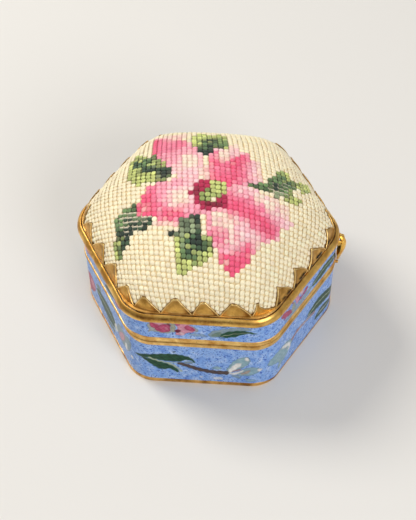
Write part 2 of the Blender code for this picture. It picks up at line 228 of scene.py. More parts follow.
def corner_rich_runs(straight, corner):
    """Distances round the hexagon: few on the flats and more round the corners."""
    steps = [np.linspace(0.0, HEX_REACH[1], straight // 2, endpoint=False)]
    samples = (len(HEX_REACH) - 2) // 6
    for index in range(6):
        first, last = HEX_REACH[1 + index * samples], HEX_REACH[(index + 1) * samples]
        following = HEX_REACH[1 + (index + 1) * samples]
        count = straight if index < 5 else straight // 2
        steps.append(np.linspace(first, last, corner, endpoint=False))
        steps.append(np.linspace(last, following, count, endpoint=False))
    return np.concatenate(steps)


def sweep_section(name, section, runs, wave=0.0, shift=(0.0, 0.0), stretch=None, about=0.0, film=None):
    """Carries a closed section of (offset, height) points round the hexagon.

    Offsets get wave times the common unevenness. Heights stand at their distance from about times the
    stretch of each place, and shift moves the whole band sideways. The film, if any, is the grime at each
    point.
    """
    section = np.array(section)
    offsets = section[:, 0][:, None] + wave * wavy(runs)[None, :]
    points, _ = along_hexagon(np.broadcast_to(runs, offsets.shape), offsets)
    factor = np.ones(len(runs)) if stretch is None else stretch
    heights = about + (section[:, 1][:, None] - about) * factor[None, :]
    points = np.concatenate([points + np.asarray(shift), heights[..., None]], axis=-1)
    quads = grid_quads(len(section), len(runs), wrap_rows=True, wrap_columns=True)
    return make_piece(name, points, quads, extra=film)


def wavy(runs):
    """A smooth unevenness from -1 to 1 that closes on itself round the hexagon."""
    turn = 2.0 * math.pi * runs / HEX_LENGTH
    return (np.sin(5 * turn + 0.7) + np.sin(11 * turn + 2.1) + 0.7 * np.sin(23 * turn + 4.0)
            + 0.5 * np.sin(41 * turn + 1.3)) / 3.2


def rounded_section(inner, outer, bottom, top, radius, steps=5):
    """A rectangle with rounded corners, from its outer bottom corner up and round."""
    points = []
    for x, z, start in ((outer - radius, bottom + radius, -0.5), (outer - radius, top - radius, 0.0),
                        (inner + radius, top - radius, 0.5), (inner + radius, bottom + radius, 1.0)):
        angles = math.pi * (start + 0.5 * np.linspace(0.0, 1.0, steps))
        points += list(zip(x + radius * np.cos(angles), z + radius * np.sin(angles)))
    return points


def closed_stack(name, rings, inside_out=False):
    """A solid from rings of points laid over each other, closed at both ends by a fan from its middle."""
    rows, ring = rings.shape[:2]
    ends = np.stack([rings[0].mean(axis=0), rings[-1].mean(axis=0)])
    quads, triangles = grid_quads(rows, ring, wrap_columns=True), end_fans(rows, ring)
    if inside_out:
        quads, triangles = quads[:, ::-1], triangles[:, ::-1]
    return make_piece(name, np.vstack([rings.reshape(-1, 3), ends]), quads, triangles)


def turned_rings(centre, places, radii, axis=1, around=24):
    """Rings of a turned piece: at each place along its axis a circle of that radius."""
    turn = np.linspace(0.0, 2 * math.pi, around, endpoint=False)
    first, second = [side for side in range(3) if side != axis]
    rings = np.zeros((len(places), around, 3)) + np.array(centre)
    rings[..., axis] = rings[..., axis] + np.array(places)[:, None]
    rings[..., first] += np.array(radii)[:, None] * np.cos(turn)
    rings[..., second] += np.array(radii)[:, None] * np.sin(turn)
    return rings


# Materials

def new_material(name):
    """A material with its nodes, its links and its shader."""
    material = bpy.data.materials.new(name)
    material.use_nodes = True
    nodes = material.node_tree.nodes
    return material, nodes, material.node_tree.links, nodes["Principled BSDF"]


def add_attribute(nodes, name):
    """The piece's own values: Paint is its colour, Cover how much of a second layer lies over it."""
    attribute = nodes.new("ShaderNodeAttribute")
    attribute.attribute_name = name
    return attribute


def add_noise(nodes, links, scale, detail=4.0, roughness=0.55, distortion=0.0):
    """Noise through the piece's own space, whose scale is in waves to the metre."""
    noise = nodes.new("ShaderNodeTexNoise")
    noise.inputs["Scale"].default_value = scale
    noise.inputs["Detail"].default_value = detail
    noise.inputs["Roughness"].default_value = roughness
    noise.inputs["Distortion"].default_value = distortion
    links.new(nodes.new("ShaderNodeTexCoord").outputs["Object"], noise.inputs["Vector"])
    return noise


def add_ramp(nodes, links, source, stops):
    """Colours for a value, from stops of a place and a colour."""
    ramp = nodes.new("ShaderNodeValToRGB")
    while len(ramp.color_ramp.elements) < len(stops):
        ramp.color_ramp.elements.new(0.5)
    for element, (place, colour) in zip(ramp.color_ramp.elements, stops):
        element.position = place
        element.color = rgba(colour)
    links.new(source, ramp.inputs["Fac"])
    return ramp


def add_mix(nodes, links, factor, first, second, blend="MIX"):
    """Two colours mixed; the factor and the colours may be sockets or constants."""
    mix = nodes.new("ShaderNodeMix")
    mix.data_type = "RGBA"
    mix.blend_type = blend
    if isinstance(factor, float):
        mix.inputs["Factor"].default_value = factor
    else:
        links.new(factor, mix.inputs["Factor"])
    for value, socket in ((first, mix.inputs["A"]), (second, mix.inputs["B"])):
        if isinstance(value, bpy.types.NodeSocket):
            links.new(value, socket)
        else:
            socket.default_value = rgba(value)
    return mix.outputs["Result"]


def add_bump(nodes, links, shader, height, strength, distance):
    """Fine relief from a height, up to the distance."""
    bump = nodes.new("ShaderNodeBump")
    bump.inputs["Strength"].default_value = strength
    bump.inputs["Distance"].default_value = distance
    links.new(height, bump.inputs["Height"])
    links.new(bump.outputs["Normal"], shader.inputs["Normal"])


def finish_metal(nodes, links, shader, colour, patches, roughest):
    """Metal of that colour, smoother where the noise of its patches is high, under fine scratches."""
    links.new(colour, shader.inputs["Base Color"])
    shader.inputs["Metallic"].default_value = 1.0
    gloss = add_ramp(nodes, links, patches.outputs["Fac"],
                     [(0.35, (roughest,) * 3), (0.70, (roughest - 0.20,) * 3)])
    links.new(gloss.outputs["Color"], shader.inputs["Roughness"])
    scratches = add_noise(nodes, links, 2600.0, detail=2.0, roughness=0.8)
    add_bump(nodes, links, shader, scratches.outputs["Fac"], 0.12, 0.05 * MM)


def gilt_material(name, bright, worn, grime, tarnish_scale=260.0, roughest=0.46, filmed=False):
    """Gilt brass: a clean tone, a browner worn tone in patches, specks of grime and, if filmed, a brown film.

    The film lies where the piece's Cover says.
    """
    material, nodes, links, shader = new_material(name)
    patches = add_noise(nodes, links, tarnish_scale, detail=6.0, roughness=0.6, distortion=0.4)
    tone = add_ramp(nodes, links, patches.outputs["Fac"], [(0.36, worn), (0.62, bright)])
    specks = add_noise(nodes, links, 1500.0, detail=3.0, roughness=0.7)
    speck_mask = add_ramp(nodes, links, specks.outputs["Fac"], [(0.27, (1, 1, 1)), (0.33, (0, 0, 0))])
    colour = add_mix(nodes, links, speck_mask.outputs["Color"], tone.outputs["Color"], grime)
    if filmed:
        cover = add_attribute(nodes, "Cover")
        thick = add_noise(nodes, links, 700.0, detail=4.0, roughness=0.7)
        depth = add_ramp(nodes, links, thick.outputs["Fac"], [(0.34, (0.45,) * 3), (0.62, (1.0,) * 3)])
        film = add_mix(nodes, links, 1.0, cover.outputs["Fac"], depth.outputs["Color"], "MULTIPLY")
        colour = add_mix(nodes, links, film, colour, linear(118, 78, 36))
    finish_metal(nodes, links, shader, colour, patches, roughest)
    return material


def teeth_material():
    """The teeth's gold, with painted highlights on the rims, under wear and specks, with a grey film at the
    feet.
    """
    material, nodes, links, shader = new_material("gilt_teeth")
    paint = add_attribute(nodes, "Paint")
    patches = add_noise(nodes, links, 420.0, detail=6.0, roughness=0.65, distortion=0.4)
    wear = add_ramp(nodes, links, patches.outputs["Fac"],
                    [(0.34, (0.66, 0.60, 0.50)), (0.62, (1.08, 1.08, 1.08))])
    colour = add_mix(nodes, links, 1.0, paint.outputs["Color"], wear.outputs["Color"], "MULTIPLY")
    cover = add_attribute(nodes, "Cover")
    film = add_noise(nodes, links, 1000.0, detail=4.0, roughness=0.7)
    film_tone = add_ramp(nodes, links, film.outputs["Fac"],
                         [(0.36, linear(84, 70, 46)), (0.50, linear(166, 140, 96)),
                          (0.66, linear(206, 184, 136))])
    colour = add_mix(nodes, links, cover.outputs["Fac"], colour, film_tone.outputs["Color"])
    specks = add_noise(nodes, links, 1700.0, detail=3.0, roughness=0.7)
    speck_mask = add_ramp(nodes, links, specks.outputs["Fac"], [(0.27, (0.9,) * 3), (0.32, (0, 0, 0))])
    colour = add_mix(nodes, links, speck_mask.outputs["Color"], colour, linear(62, 42, 20))
    finish_metal(nodes, links, shader, colour, patches, 0.44)
    return material


def enamel_material():
    """Cornflower enamel: mottled base with clouds and dark specks, and the painted sprigs laid over it."""
    material, nodes, links, shader = new_material("painted_enamel")
    clouds = add_noise(nodes, links, 520.0, detail=5.0, roughness=0.65, distortion=0.5)
    base = add_ramp(nodes, links, clouds.outputs["Fac"],
                    [(0.32, linear(102, 142, 212)), (0.46, linear(128, 166, 224)),
                     (0.58, linear(154, 184, 230)), (0.70, linear(186, 206, 236))])
    stains = add_noise(nodes, links, 1900.0, detail=2.0, roughness=0.6, distortion=0.3)
    stain_mask = add_ramp(nodes, links, stains.outputs["Fac"], [(0.56, (0, 0, 0)), (0.62, (0.9,) * 3)])
    colour = add_mix(nodes, links, stain_mask.outputs["Color"], base.outputs["Color"], linear(56, 92, 180))
    specks = add_noise(nodes, links, 2600.0, detail=2.0, roughness=0.5)
    speck_mask = add_ramp(nodes, links, specks.outputs["Fac"], [(0.66, (0, 0, 0)), (0.70, (0.9,) * 3)])
    colour = add_mix(nodes, links, speck_mask.outputs["Color"], colour, linear(34, 48, 96))
    paint, cover = add_attribute(nodes, "Paint"), add_attribute(nodes, "Cover")
    brushed = add_noise(nodes, links, 900.0, detail=4.0, roughness=0.7)
    shades = add_ramp(nodes, links, brushed.outputs["Fac"], [(0.30, (0.78,) * 3), (0.70, (1.12,) * 3)])
    painted = add_mix(nodes, links, 1.0, paint.outputs["Color"], shades.outputs["Color"], "MULTIPLY")
    colour = add_mix(nodes, links, cover.outputs["Fac"], colour, painted)
    links.new(colour, shader.inputs["Base Color"])
    shader.inputs["Roughness"].default_value = 0.30
    shader.inputs["IOR"].default_value = 1.22
    add_bump(nodes, links, shader, clouds.outputs["Fac"], 0.10, 0.20 * MM)
    return material


def mottled_material(name, scale, detail, first, second, roughness):
    """Two tones that pass into each other in patches; each is given by its place and its colour."""
    material, nodes, links, shader = new_material(name)
    patches = add_noise(nodes, links, scale, detail=detail)
    tone = add_ramp(nodes, links, patches.outputs["Fac"], [first, second])
    links.new(tone.outputs["Color"], shader.inputs["Base Color"])
    shader.inputs["Roughness"].default_value = roughness
    return material


def thread_material(name, darkest, lightest):
    """Cotton: the piece's thread colours with their painted shade between stitches, times the shades of its
    fibres, with a soft sheen.
    """
    material, nodes, links, shader = new_material(name)
    paint = add_attribute(nodes, "Paint")
    fibres = add_noise(nodes, links, 3400.0, detail=3.0, roughness=0.7)
    shades = add_ramp(nodes, links, fibres.outputs["Fac"], [(0.32, (darkest,) * 3), (0.68, (lightest,) * 3)])
    colour = add_mix(nodes, links, 1.0, paint.outputs["Color"], shades.outputs["Color"], "MULTIPLY")
    links.new(colour, shader.inputs["Base Color"])
    shader.inputs["Roughness"].default_value = 0.78
    shader.inputs["Sheen Weight"].default_value = 0.20
    shader.inputs["Sheen Roughness"].default_value = 0.5
    add_bump(nodes, links, shader, fibres.outputs["Fac"], 0.30, 0.06 * MM)
    return material


def tarnish_material():
    """The crust between the teeth and the bezel: pale metal dust, grey and black in short stretches."""
    material, nodes, links, shader = new_material("tarnish")
    crust = add_noise(nodes, links, 420.0, detail=5.0, roughness=0.7)
    tone = add_ramp(nodes, links, crust.outputs["Fac"],
                    [(0.42, linear(16, 12, 8)), (0.48, linear(92, 78, 52)), (0.56, linear(168, 152, 112)),
                     (0.70, linear(214, 200, 164))])
    links.new(tone.outputs["Color"], shader.inputs["Base Color"])
    shader.inputs["Roughness"].default_value = 0.8
    add_bump(nodes, links, shader, crust.outputs["Fac"], 0.6, 0.15 * MM)
    return material


def slot_shadow_material():
    """Painted shadow deep in the gaps at the teeth's feet: near black, with pale dust here and there."""
    material, nodes, links, shader = new_material("painted_slot_shadow")
    dust = add_noise(nodes, links, 700.0, detail=3.0, roughness=0.7)
    tone = add_ramp(nodes, links, dust.outputs["Fac"],
                    [(0.58, linear(20, 14, 10)), (0.66, linear(150, 138, 116))])
    links.new(tone.outputs["Color"], shader.inputs["Base Color"])
    shader.inputs["Roughness"].default_value = 0.9
    return material


def floor_material():
    """A plain pale sweep that takes the object's shadow."""
    material, nodes, links, shader = new_material("floor")
    shader.inputs["Base Color"].default_value = rgba(linear(226, 223, 218))
    shader.inputs["Roughness"].default_value = 0.9
    return material


GRIME = linear(78, 52, 24)
GILT = gilt_material("gilt", linear(240, 192, 112), linear(166, 116, 50), GRIME)
GILT_BEZEL = gilt_material("gilt_bezel", linear(250, 204, 112), linear(190, 138, 62), GRIME, filmed=True)
GILT_BANDS = gilt_material("gilt_bands", linear(252, 214, 136), linear(202, 148, 72), linear(86, 58, 26),
                           tarnish_scale=300.0, roughest=0.54, filmed=True)
GILT_TEETH = teeth_material()
# Painted light: a brighter copy of the gilt for the hasp, its pin and cheeks, for the light they catch
LIT_GILT_HASP = gilt_material("gilt_hasp_painted_light", linear(255, 214, 112), linear(236, 170, 62), linear(96, 64, 24),
                          tarnish_scale=700.0)
GILT_INSIDE = gilt_material("gilt_inside", linear(232, 196, 128), linear(200, 160, 96), linear(96, 70, 38),
                            tarnish_scale=180.0)
ENAMEL = enamel_material()
PLAIN_ENAMEL = mottled_material("plain_enamel", 220.0, 4.0, (0.32, linear(84, 120, 192)),
                                (0.68, linear(124, 156, 214)), 0.25)
CARD = mottled_material("card", 900.0, 5.0, (0.35, linear(150, 134, 110)), (0.65, linear(184, 168, 142)), 0.9)
THREAD = thread_material("thread", 0.88, 1.06)
CANVAS = thread_material("canvas", 0.84, 1.0)
TARNISH = tarnish_material()
SLOT_SHADOW = slot_shadow_material()
FLOOR = floor_material()


# Painted sprigs on the enamel

# Each paint: its body, the lighter tone that streaks it, and the tone of its edge
PAINTS = {
    "leaf": (linear(12, 54, 36), linear(38, 86, 58), linear(62, 96, 84)),
    "sage": (linear(74, 104, 78), linear(116, 136, 106), linear(96, 120, 112)),
    "haze": (linear(124, 146, 154), linear(150, 160, 158), linear(96, 124, 138)),
    "celadon": (linear(128, 162, 168), linear(160, 184, 184), linear(92, 122, 124)),
    "white": (linear(224, 222, 216), linear(238, 234, 228), linear(196, 200, 206)),
    "tan": (linear(166, 144, 130), linear(190, 172, 158), linear(140, 128, 120)),
    "rust": (linear(156, 104, 96), linear(190, 160, 156), linear(120, 78, 76)),
    "bark": (linear(70, 50, 34), linear(96, 74, 52), linear(52, 40, 36)),
    "olive": (linear(148, 148, 116), linear(172, 168, 132), linear(126, 132, 120)),
    "crimson": (linear(160, 52, 88), linear(196, 96, 128), linear(122, 34, 66)),
    "maroon": (linear(108, 26, 54), linear(134, 44, 72), linear(96, 30, 56)),
    "rose": (linear(198, 126, 148), linear(220, 166, 180), linear(170, 92, 116)),
    "blush": (linear(206, 164, 172), linear(226, 198, 202), linear(176, 132, 142)),
    "vein": (linear(168, 180, 150), linear(190, 198, 170), linear(150, 166, 140)),
    "ink": (linear(52, 66, 84), linear(66, 80, 96), linear(60, 76, 100)),
}

# Outlines in mm along the wall and up it, with the paint and how strongly it covers
FRONT_PATCHES = (
    ("leaf", 1.0, (-16.8, 9.8, -15, 10.9, -13.2, 11.7, -10, 12.3, -7, 12.6, -5, 12.4, -3.2, 11.8, -2, 10.9,
                   -1.4, 9.6, -1.7, 8.9, -2.6, 10.1, -3.6, 10.2, -4.6, 9.6, -5.6, 9.1, -7.5, 9.2, -9.5, 9.3,
                   -11.5, 9.9, -12.6, 10.3, -14.5, 9.7)),
    ("leaf", 1.0, (-15.2, 9.9, -12.6, 10.1, -10.5, 9.1, -8.4, 8.3, -7, 7.5, -6, 6.3, -5.3, 4.4, -6.2, 4.6,
                   -7.0, 5.5, -7.8, 6.0, -9.6, 5.3, -10.9, 5.9, -12, 7.2, -13.2, 8.6)),
    ("haze", 0.9, (-4.4, 9.0, -3.4, 9.7, -2.4, 9.7, -1.8, 9.0, -2.6, 8.6, -3.8, 8.7)),
    ("celadon", 0.9, (6.0, 5.8, 6.2, 7.4, 7.0, 9.2, 7.6, 10.8, 8.9, 12.0, 10, 12.8, 11, 13.1, 11.8, 12.4,
                      11.7, 10.6, 11.2, 9.4, 10.4, 8.6, 9.4, 7.6, 8, 6.2)),
    ("celadon", 0.85, (8, 5.0, 9.4, 6.6, 10.6, 8.0, 12, 8.6, 13.2, 8.4, 14.2, 7.6, 14.6, 6.6, 13.6, 6.0,
                       12.8, 5.2, 11.4, 4.6, 9.6, 4.4)),
    ("white", 1.0, (6.2, 5.2, 6.6, 6.8, 7.6, 8.8, 8.4, 10.0, 9.4, 10.2, 9.9, 9.6, 9.2, 8.2, 8.2, 7.0,
                    7.2, 5.6)),
    ("white", 0.95, (10.4, 11.3, 10.3, 12.3, 10.9, 12.9, 11.5, 12.3, 11.3, 11.2)),
    ("white", 0.95, (6.3, 5.2, 8, 5.7, 9.8, 6.8, 10.5, 7.1, 9.8, 6.0, 8.6, 5.0, 7.2, 4.6)),
    ("tan", 0.9, (9.4, 5.4, 10.6, 6.7, 11.8, 7.3, 11.9, 6.4, 11, 5.4, 10, 5.0)),
    ("rust", 0.75, (7.2, 6.0, 8.4, 7.1, 9.8, 7.9, 9.8, 7.1, 8.6, 6.4, 7.6, 5.8)),
    ("white", 0.9, (13.5, 7.4, 14.2, 7.8, 15.0, 7.1, 14.6, 6.3, 13.8, 6.4)),
    ("celadon", 0.8, (2.2, 7.0, 3.2, 8.0, 4.4, 8.1, 5.2, 7.3, 4.0, 6.7)),
    ("haze", 0.8, (7, 4.3, 8.2, 4.8, 9.6, 4.0, 9.8, 3.0, 8.4, 3.4)),
    ("white", 0.75, (2.7, 2.5, 3.4, 3.3, 4.6, 3.5, 5.4, 2.7, 4.8, 2.1, 3.4, 2.0)),
    ("white", 0.5, (-0.6, 3.3, 0.4, 3.3, 0.3, 2.6, -0.4, 2.6)),
    ("celadon", 0.7, (10.6, 3.1, 12, 3.1, 13.4, 2.5, 13, 2.0, 11, 2.0)),
    ("ink", 0.85, (-6.9, 13.5, -6.4, 14.1, -6.0, 13.4, -6.5, 13.0)),
    ("olive", 0.75, (-12.6, 23.4, -12.0, 25.9, -9, 26.1, -6.8, 25.9, -6.4, 22.4, -7.2, 21.2, -9.4, 21.2,
                     -11.2, 22.0, -12.6, 21.2, -11.8, 22.6)),
    ("rose", 0.9, (-11.8, 24.8, -11.4, 25.9, -9.6, 26.1, -8.2, 25.4, -9.3, 24.4, -10.6, 24.0)),
    ("crimson", 1.0, (-12.0, 24.8, -11.6, 25.6, -10.2, 25.0, -9.3, 24.0, -10.2, 22.9, -11.2, 23.3)),
    ("crimson", 1.0, (-10.8, 22.9, -9.6, 24.4, -8.4, 25.1, -7.2, 24.8, -6.9, 23.4, -7.2, 22.0, -8.4, 21.4,
                      -9.6, 21.7, -10.4, 22.2)),
    ("rose", 0.65, (-8.6, 23.0, -8.0, 24.2, -7.4, 23.6, -7.6, 22.4)),
    ("maroon", 0.9, (-8, 25.7, -7, 25.6, -6.8, 23.9, -7.6, 24.6)),
    ("olive", 0.9, (-6.8, 26.0, -5.9, 26.0, -5.7, 24.0, -6.0, 21.8, -6.8, 21.6)),
    ("rose", 1.0, (-5.8, 25.9, -3.6, 25.9, -2, 24.9, -1.0, 23.6, -1.4, 22.4, -3, 22.0, -4.4, 20.8,
                   -5.6, 20.6, -6, 21.9, -5.2, 23.8)),
    ("olive", 0.7, (-2.0, 24.9, -0.6, 23.9, -0.5, 22.6, -1.4, 21.9, -1.1, 23.4)),
    ("crimson", 0.9, (-6, 25.7, -5, 25.7, -4.6, 24.7, -5.6, 24.5)),
    ("maroon", 1.0, (-6.1, 22.6, -5.0, 23.4, -4.4, 22.4, -5, 21.7, -6, 21.9)),
    ("crimson", 1.0, (-3.4, 24.9, -2.4, 24.8, -1.2, 23.4, -1.6, 22.6, -2.8, 22.8, -3.9, 23.9)),
    ("blush", 0.9, (-5.4, 21.8, -4.2, 22.2, -3.4, 21.2, -4.6, 20.6)),
    ("haze", 0.6, (-3.2, 21.6, -1, 22.0, 1.4, 21.4, 1.6, 20.6, -0.4, 20.6, -2, 20.8)),
    ("haze", 0.9, (1.6, 21.1, 2, 22.3, 3, 23.5, 5.4, 24.3, 8, 25.1, 11, 25.3, 12.4, 24.3, 9, 23.9, 5, 22.6,
                   4.6, 21.0, 3, 20.5)),
    ("ink", 0.6, (4.4, 24.9, 5.4, 25.5, 6.4, 25.2, 5.4, 24.5)),
    ("ink", 0.5, (4.0, 20.2, 5.0, 20.7, 5.6, 20.2, 4.8, 19.9)),
    ("sage", 0.7, (2.2, 21.2, 3.2, 22.6, 4.8, 23.2, 5.2, 21.6, 4.2, 20.8)),
    ("leaf", 1.0, (4.3, 20.9, 4.8, 22.3, 6.2, 23.3, 8, 23.9, 10, 24.1, 12, 23.6, 13.4, 22.7, 12.6, 22.7,
                   11.4, 23.0, 10, 22.6, 8.8, 21.6, 7, 20.9, 5.4, 20.6)),
)
RIGHT_PATCHES = (
    ("haze", 0.85, (21.6, 20.8, 23, 19.8, 26, 19.6, 30, 19.8, 34, 20.6, 33.4, 21.9, 31, 22.1, 29, 21.5,
                    26, 21.2, 24, 21.6)),
    ("blush", 0.9, (21.4, 25.7, 22.6, 25.9, 24.4, 25.3, 23.4, 24.4, 21.8, 24.8)),
    ("crimson", 1.0, (19.8, 24.2, 20.8, 24.9, 22, 24.5, 23.6, 23.4, 24.8, 21.8, 25.5, 20.9, 24, 20.9,
                      22.4, 21.6, 20.8, 22.9)),
    ("crimson", 0.95, (23.4, 25.9, 24.2, 25.2, 25.4, 23.4, 25.2, 24.8, 24.4, 26.0)),
    ("olive", 0.9, (24.4, 22.2, 25.2, 24.0, 25.8, 24.2, 26.6, 22.0, 26.2, 21.0, 25, 21.0)),
    ("rose", 0.9, (25.8, 25.3, 27.4, 25.1, 28.6, 22.4, 27, 21.6, 26.4, 23.0)),
    ("crimson", 1.0, (27.4, 22.0, 28.2, 23.2, 29.4, 22.8, 30.6, 24.0, 31.7, 24.2, 32, 23.0, 30.8, 22.4,
                      29, 21.8)),
    ("crimson", 0.85, (20.6, 22.0, 22.0, 23.2, 23.8, 23.6, 24.0, 22.2, 22.6, 21.2)),
    ("maroon", 0.85, (26.8, 25.7, 28.0, 25.7, 27.5, 24.3)),
    ("blush", 0.95, (28, 25.4, 30.2, 24.5, 29.4, 23.2, 28.4, 23.6)),
    ("sage", 0.85, (33.4, 21.4, 35.6, 21.0, 38, 21.6, 39.6, 22.6, 41, 23.8, 38.6, 23.2, 36, 22.4)),
    ("leaf", 1.0, (33.0, 21.2, 35, 22.6, 37, 23.4, 39.4, 23.9, 42, 23.8, 44.8, 22.9, 47.2, 21.3, 48.6, 19.9,
                   46, 20.0, 43.4, 20.7, 40.8, 20.7, 38.3, 20.1, 35.5, 20.2)),
    ("celadon", 0.9, (16, 8.2, 17, 9.7, 18.6, 10.6, 20.4, 10.7, 22, 10.4, 24, 10.0, 25.6, 8.9, 26.3, 7.4,
                      25.4, 6.1, 24.4, 4.7, 23, 3.7, 21, 2.9, 20, 2.1, 19.6, 3.3, 20.4, 5.1, 19, 6.1,
                      17, 6.8)),
    ("white", 0.95, (20.6, 10.2, 22, 8.9, 23.2, 7.8, 24.2, 7.4, 24.6, 6.6, 24, 5.2, 24.8, 5.0, 25.5, 6.4,
                     25.3, 7.8, 23.7, 9.3, 22, 10.1)),
    ("rust", 0.8, (23.1, 7.4, 23.6, 7.6, 23.8, 7.1, 23.3, 6.8)),
    ("white", 0.6, (33.6, 9.3, 35, 9.6, 36.2, 8.6, 35.2, 8.0, 34.2, 8.6)),
    ("leaf", 1.0, (32.2, 9.2, 33.6, 10.6, 36, 11.6, 38.4, 11.8, 41, 11.0, 43.8, 9.8, 46.4, 8.0, 47.8, 6.0,
                   45.4, 5.8, 42.6, 6.4, 39.6, 7.0, 37, 7.6, 34.6, 8.4)),
    ("leaf", 1.0, (36.4, 3.2, 37.6, 4.6, 39.4, 5.6, 41.6, 5.5, 43.8, 4.6, 46, 3.0, 43.6, 2.4, 41, 2.3,
                   38.4, 2.6)),
    ("white", 0.4, (38, 4.3, 40, 4.5, 42, 4.1, 44, 3.7, 42, 3.2, 39, 3.5)),
)
LEFT_PATCHES = (
    ("haze", 0.6, (-37.2, 20.8, -37, 23.8, -34.6, 25.6, -31, 25.4, -30, 23.4, -32, 21.0, -34.6, 20.2)),
    ("olive", 0.8, (-37, 21.6, -36.2, 24.4, -33.2, 25.4, -33.6, 23.6, -35.6, 21.6)),
    ("haze", 0.8, (-31, 24.0, -29, 25.4, -26.4, 25.6, -27, 24.4, -29, 23.6)),
    ("rose", 0.95, (-47.0, 20.8, -45, 23.6, -42, 25.8, -38.4, 25.6, -37.4, 23.6, -39.4, 21.4, -42, 20.4,
                    -45, 20.2)),
    ("crimson", 1.0, (-48.4, 20.4, -46.4, 21.6, -43.6, 23.8, -41.2, 25.8, -42.4, 26.0, -45, 24.6,
                      -47.4, 22.4)),
    ("crimson", 1.0, (-42.0, 20.8, -40.4, 21.4, -38.6, 23.2, -36.8, 25.4, -38, 25.3, -40, 23.3,
                      -41.8, 21.9)),
    ("sage", 0.7, (-32.0, 20.8, -31, 22.0, -30.4, 23.2, -31.4, 23.0, -32.4, 21.8)),
    ("leaf", 1.0, (-31.6, 19.8, -30, 21.9, -27.5, 23.2, -24.2, 23.3, -25.4, 21.6, -27.5, 20.5,
                   -29.6, 19.9)),
    ("rose", 0.95, (-26.8, 23.6, -26.2, 25.0, -23.6, 25.4, -21.6, 24.6, -22.2, 22.9, -24, 22.1,
                    -25.7, 22.6)),
    ("crimson", 1.0, (-25.8, 21.8, -24.2, 23.4, -22.2, 24.2, -21.0, 22.8, -22.4, 21.2, -24.4, 20.4)),
    ("haze", 0.5, (-22.2, 24.6, -20.6, 25.0, -19.6, 23.8, -21, 22.8, -22.6, 23.6)),
    ("crimson", 1.0, (-49.6, 3.0, -47.8, 6.0, -45.8, 9.4, -43.4, 11.4, -41.4, 11.8, -40, 10.8, -39.1, 8.9,
                      -39.8, 6.7, -41.6, 4.8, -44, 3.3, -47, 2.2)),
    ("rose", 0.85, (-42.8, 10.0, -40.8, 10.4, -39.5, 8.7, -40.6, 6.7, -42, 7.2)),
    ("maroon", 0.7, (-46.0, 4.2, -44.6, 7.0, -43.4, 8.6, -43.0, 6.6, -44.2, 4.4)),
    ("sage", 0.8, (-38.6, 11.2, -37.4, 13.4, -35.6, 14.0, -34.8, 12.2, -36.8, 10.9)),
    ("leaf", 1.0, (-39.0, 9.8, -36.4, 11.6, -33.8, 12.1, -30.7, 12.2, -28, 11.6, -26.4, 9.8, -25.6, 7.4,
                   -28.3, 6.0, -31.3, 5.3, -33.9, 5.9, -36, 7.1, -38.1, 8.4)),
    ("sage", 0.9, (-33.4, 5.0, -31.0, 5.0, -28.4, 5.5, -27.2, 4.2, -30, 3.4, -32.6, 3.6)),
    ("white", 0.85, (-27.8, 7.4, -26.8, 10.0, -25.8, 10.2, -25.1, 8.3, -25.8, 6.7, -27, 6.4)),
    ("haze", 0.9, (-26.2, 8.4, -24.8, 12.3, -23, 13.7, -20.4, 12.8, -18.6, 14.3, -17.4, 12.8, -18, 9.6,
                   -19, 7.4, -21, 6.3, -24, 6.3)),
    ("rose", 0.8, (-25.0, 7.6, -23.7, 10.3, -22, 11.8, -20.7, 11.8, -21, 10.0, -22, 8.1, -23.4, 6.7)),
    ("rust", 0.6, (-21.6, 9.4, -20.8, 11.9, -20.3, 11.6, -21.0, 9.0)),
    ("white", 0.9, (-21.5, 6.7, -20.6, 9.8, -19.8, 10.0, -19.5, 7.8, -20.4, 6.2)),
    ("white", 0.95, (-18.5, 6.2, -18, 7.6, -17.1, 6.9, -17.5, 5.7)),
)

# Lines of one brush: paint, half widths at both ends, and the points it passes, in mm
LINES = (
    ("vein", 0.26, 0.14, (-12.5, 10.3, -10.4, 9.2, -8.0, 8.5, -5.8, 8.7)),
    ("vein", 0.22, 0.30, (-8.2, 8.4, -6.6, 7.4, -5.4, 6.0, -5.0, 5.0)),
    ("bark", 0.62, 0.86, (-5.2, 8.5, -3.4, 7.7, -1, 6.5, 1.5, 5.7, 3.5, 5.4, 5.9, 5.4)),
    ("vein", 0.10, 0.05, (4.8, 21.2, 7.4, 22.4, 11.4, 23.4)),
    ("rust", 0.66, 0.50, (26.2, 8.0, 28, 9.0, 30, 8.8, 32, 8.3, 34, 7.9, 36.4, 7.3)),
    ("white", 0.16, 0.10, (28.4, 7.9, 31, 8.4, 34.4, 7.6)),
    ("vein", 0.26, 0.16, (33.4, 9.3, 37, 9.8, 41, 9.0, 45.6, 7.2)),
    ("vein", 0.18, 0.10, (34.4, 21.4, 38.4, 22.4, 43, 22.2, 47, 20.6)),
    ("vein", 0.26, 0.14, (-38.2, 9.4, -34, 9.6, -30, 9.0, -26.4, 7.8)),
)

# How a stroke ends, in mm: its soft edge, the reach of its edge tone, and the room round it that is looked at
SOFT_EDGE = 0.16
EDGE_TONE = 0.22
PAINT_MARGIN = 0.5
LINE_STRENGTH = 0.95


def rounded_outline(flat, rounds=2):
    """Cuts off an outline's corners, a quarter of each side at a time, so that it looks brushed."""
    points = np.array(flat, dtype=float).reshape(-1, 2)
    for _ in range(rounds):
        following = np.roll(points, -1, axis=0)
        cut = [0.75 * points + 0.25 * following, 0.25 * points + 0.75 * following]
        points = np.stack(cut, axis=1).reshape(-1, 2)
    return points


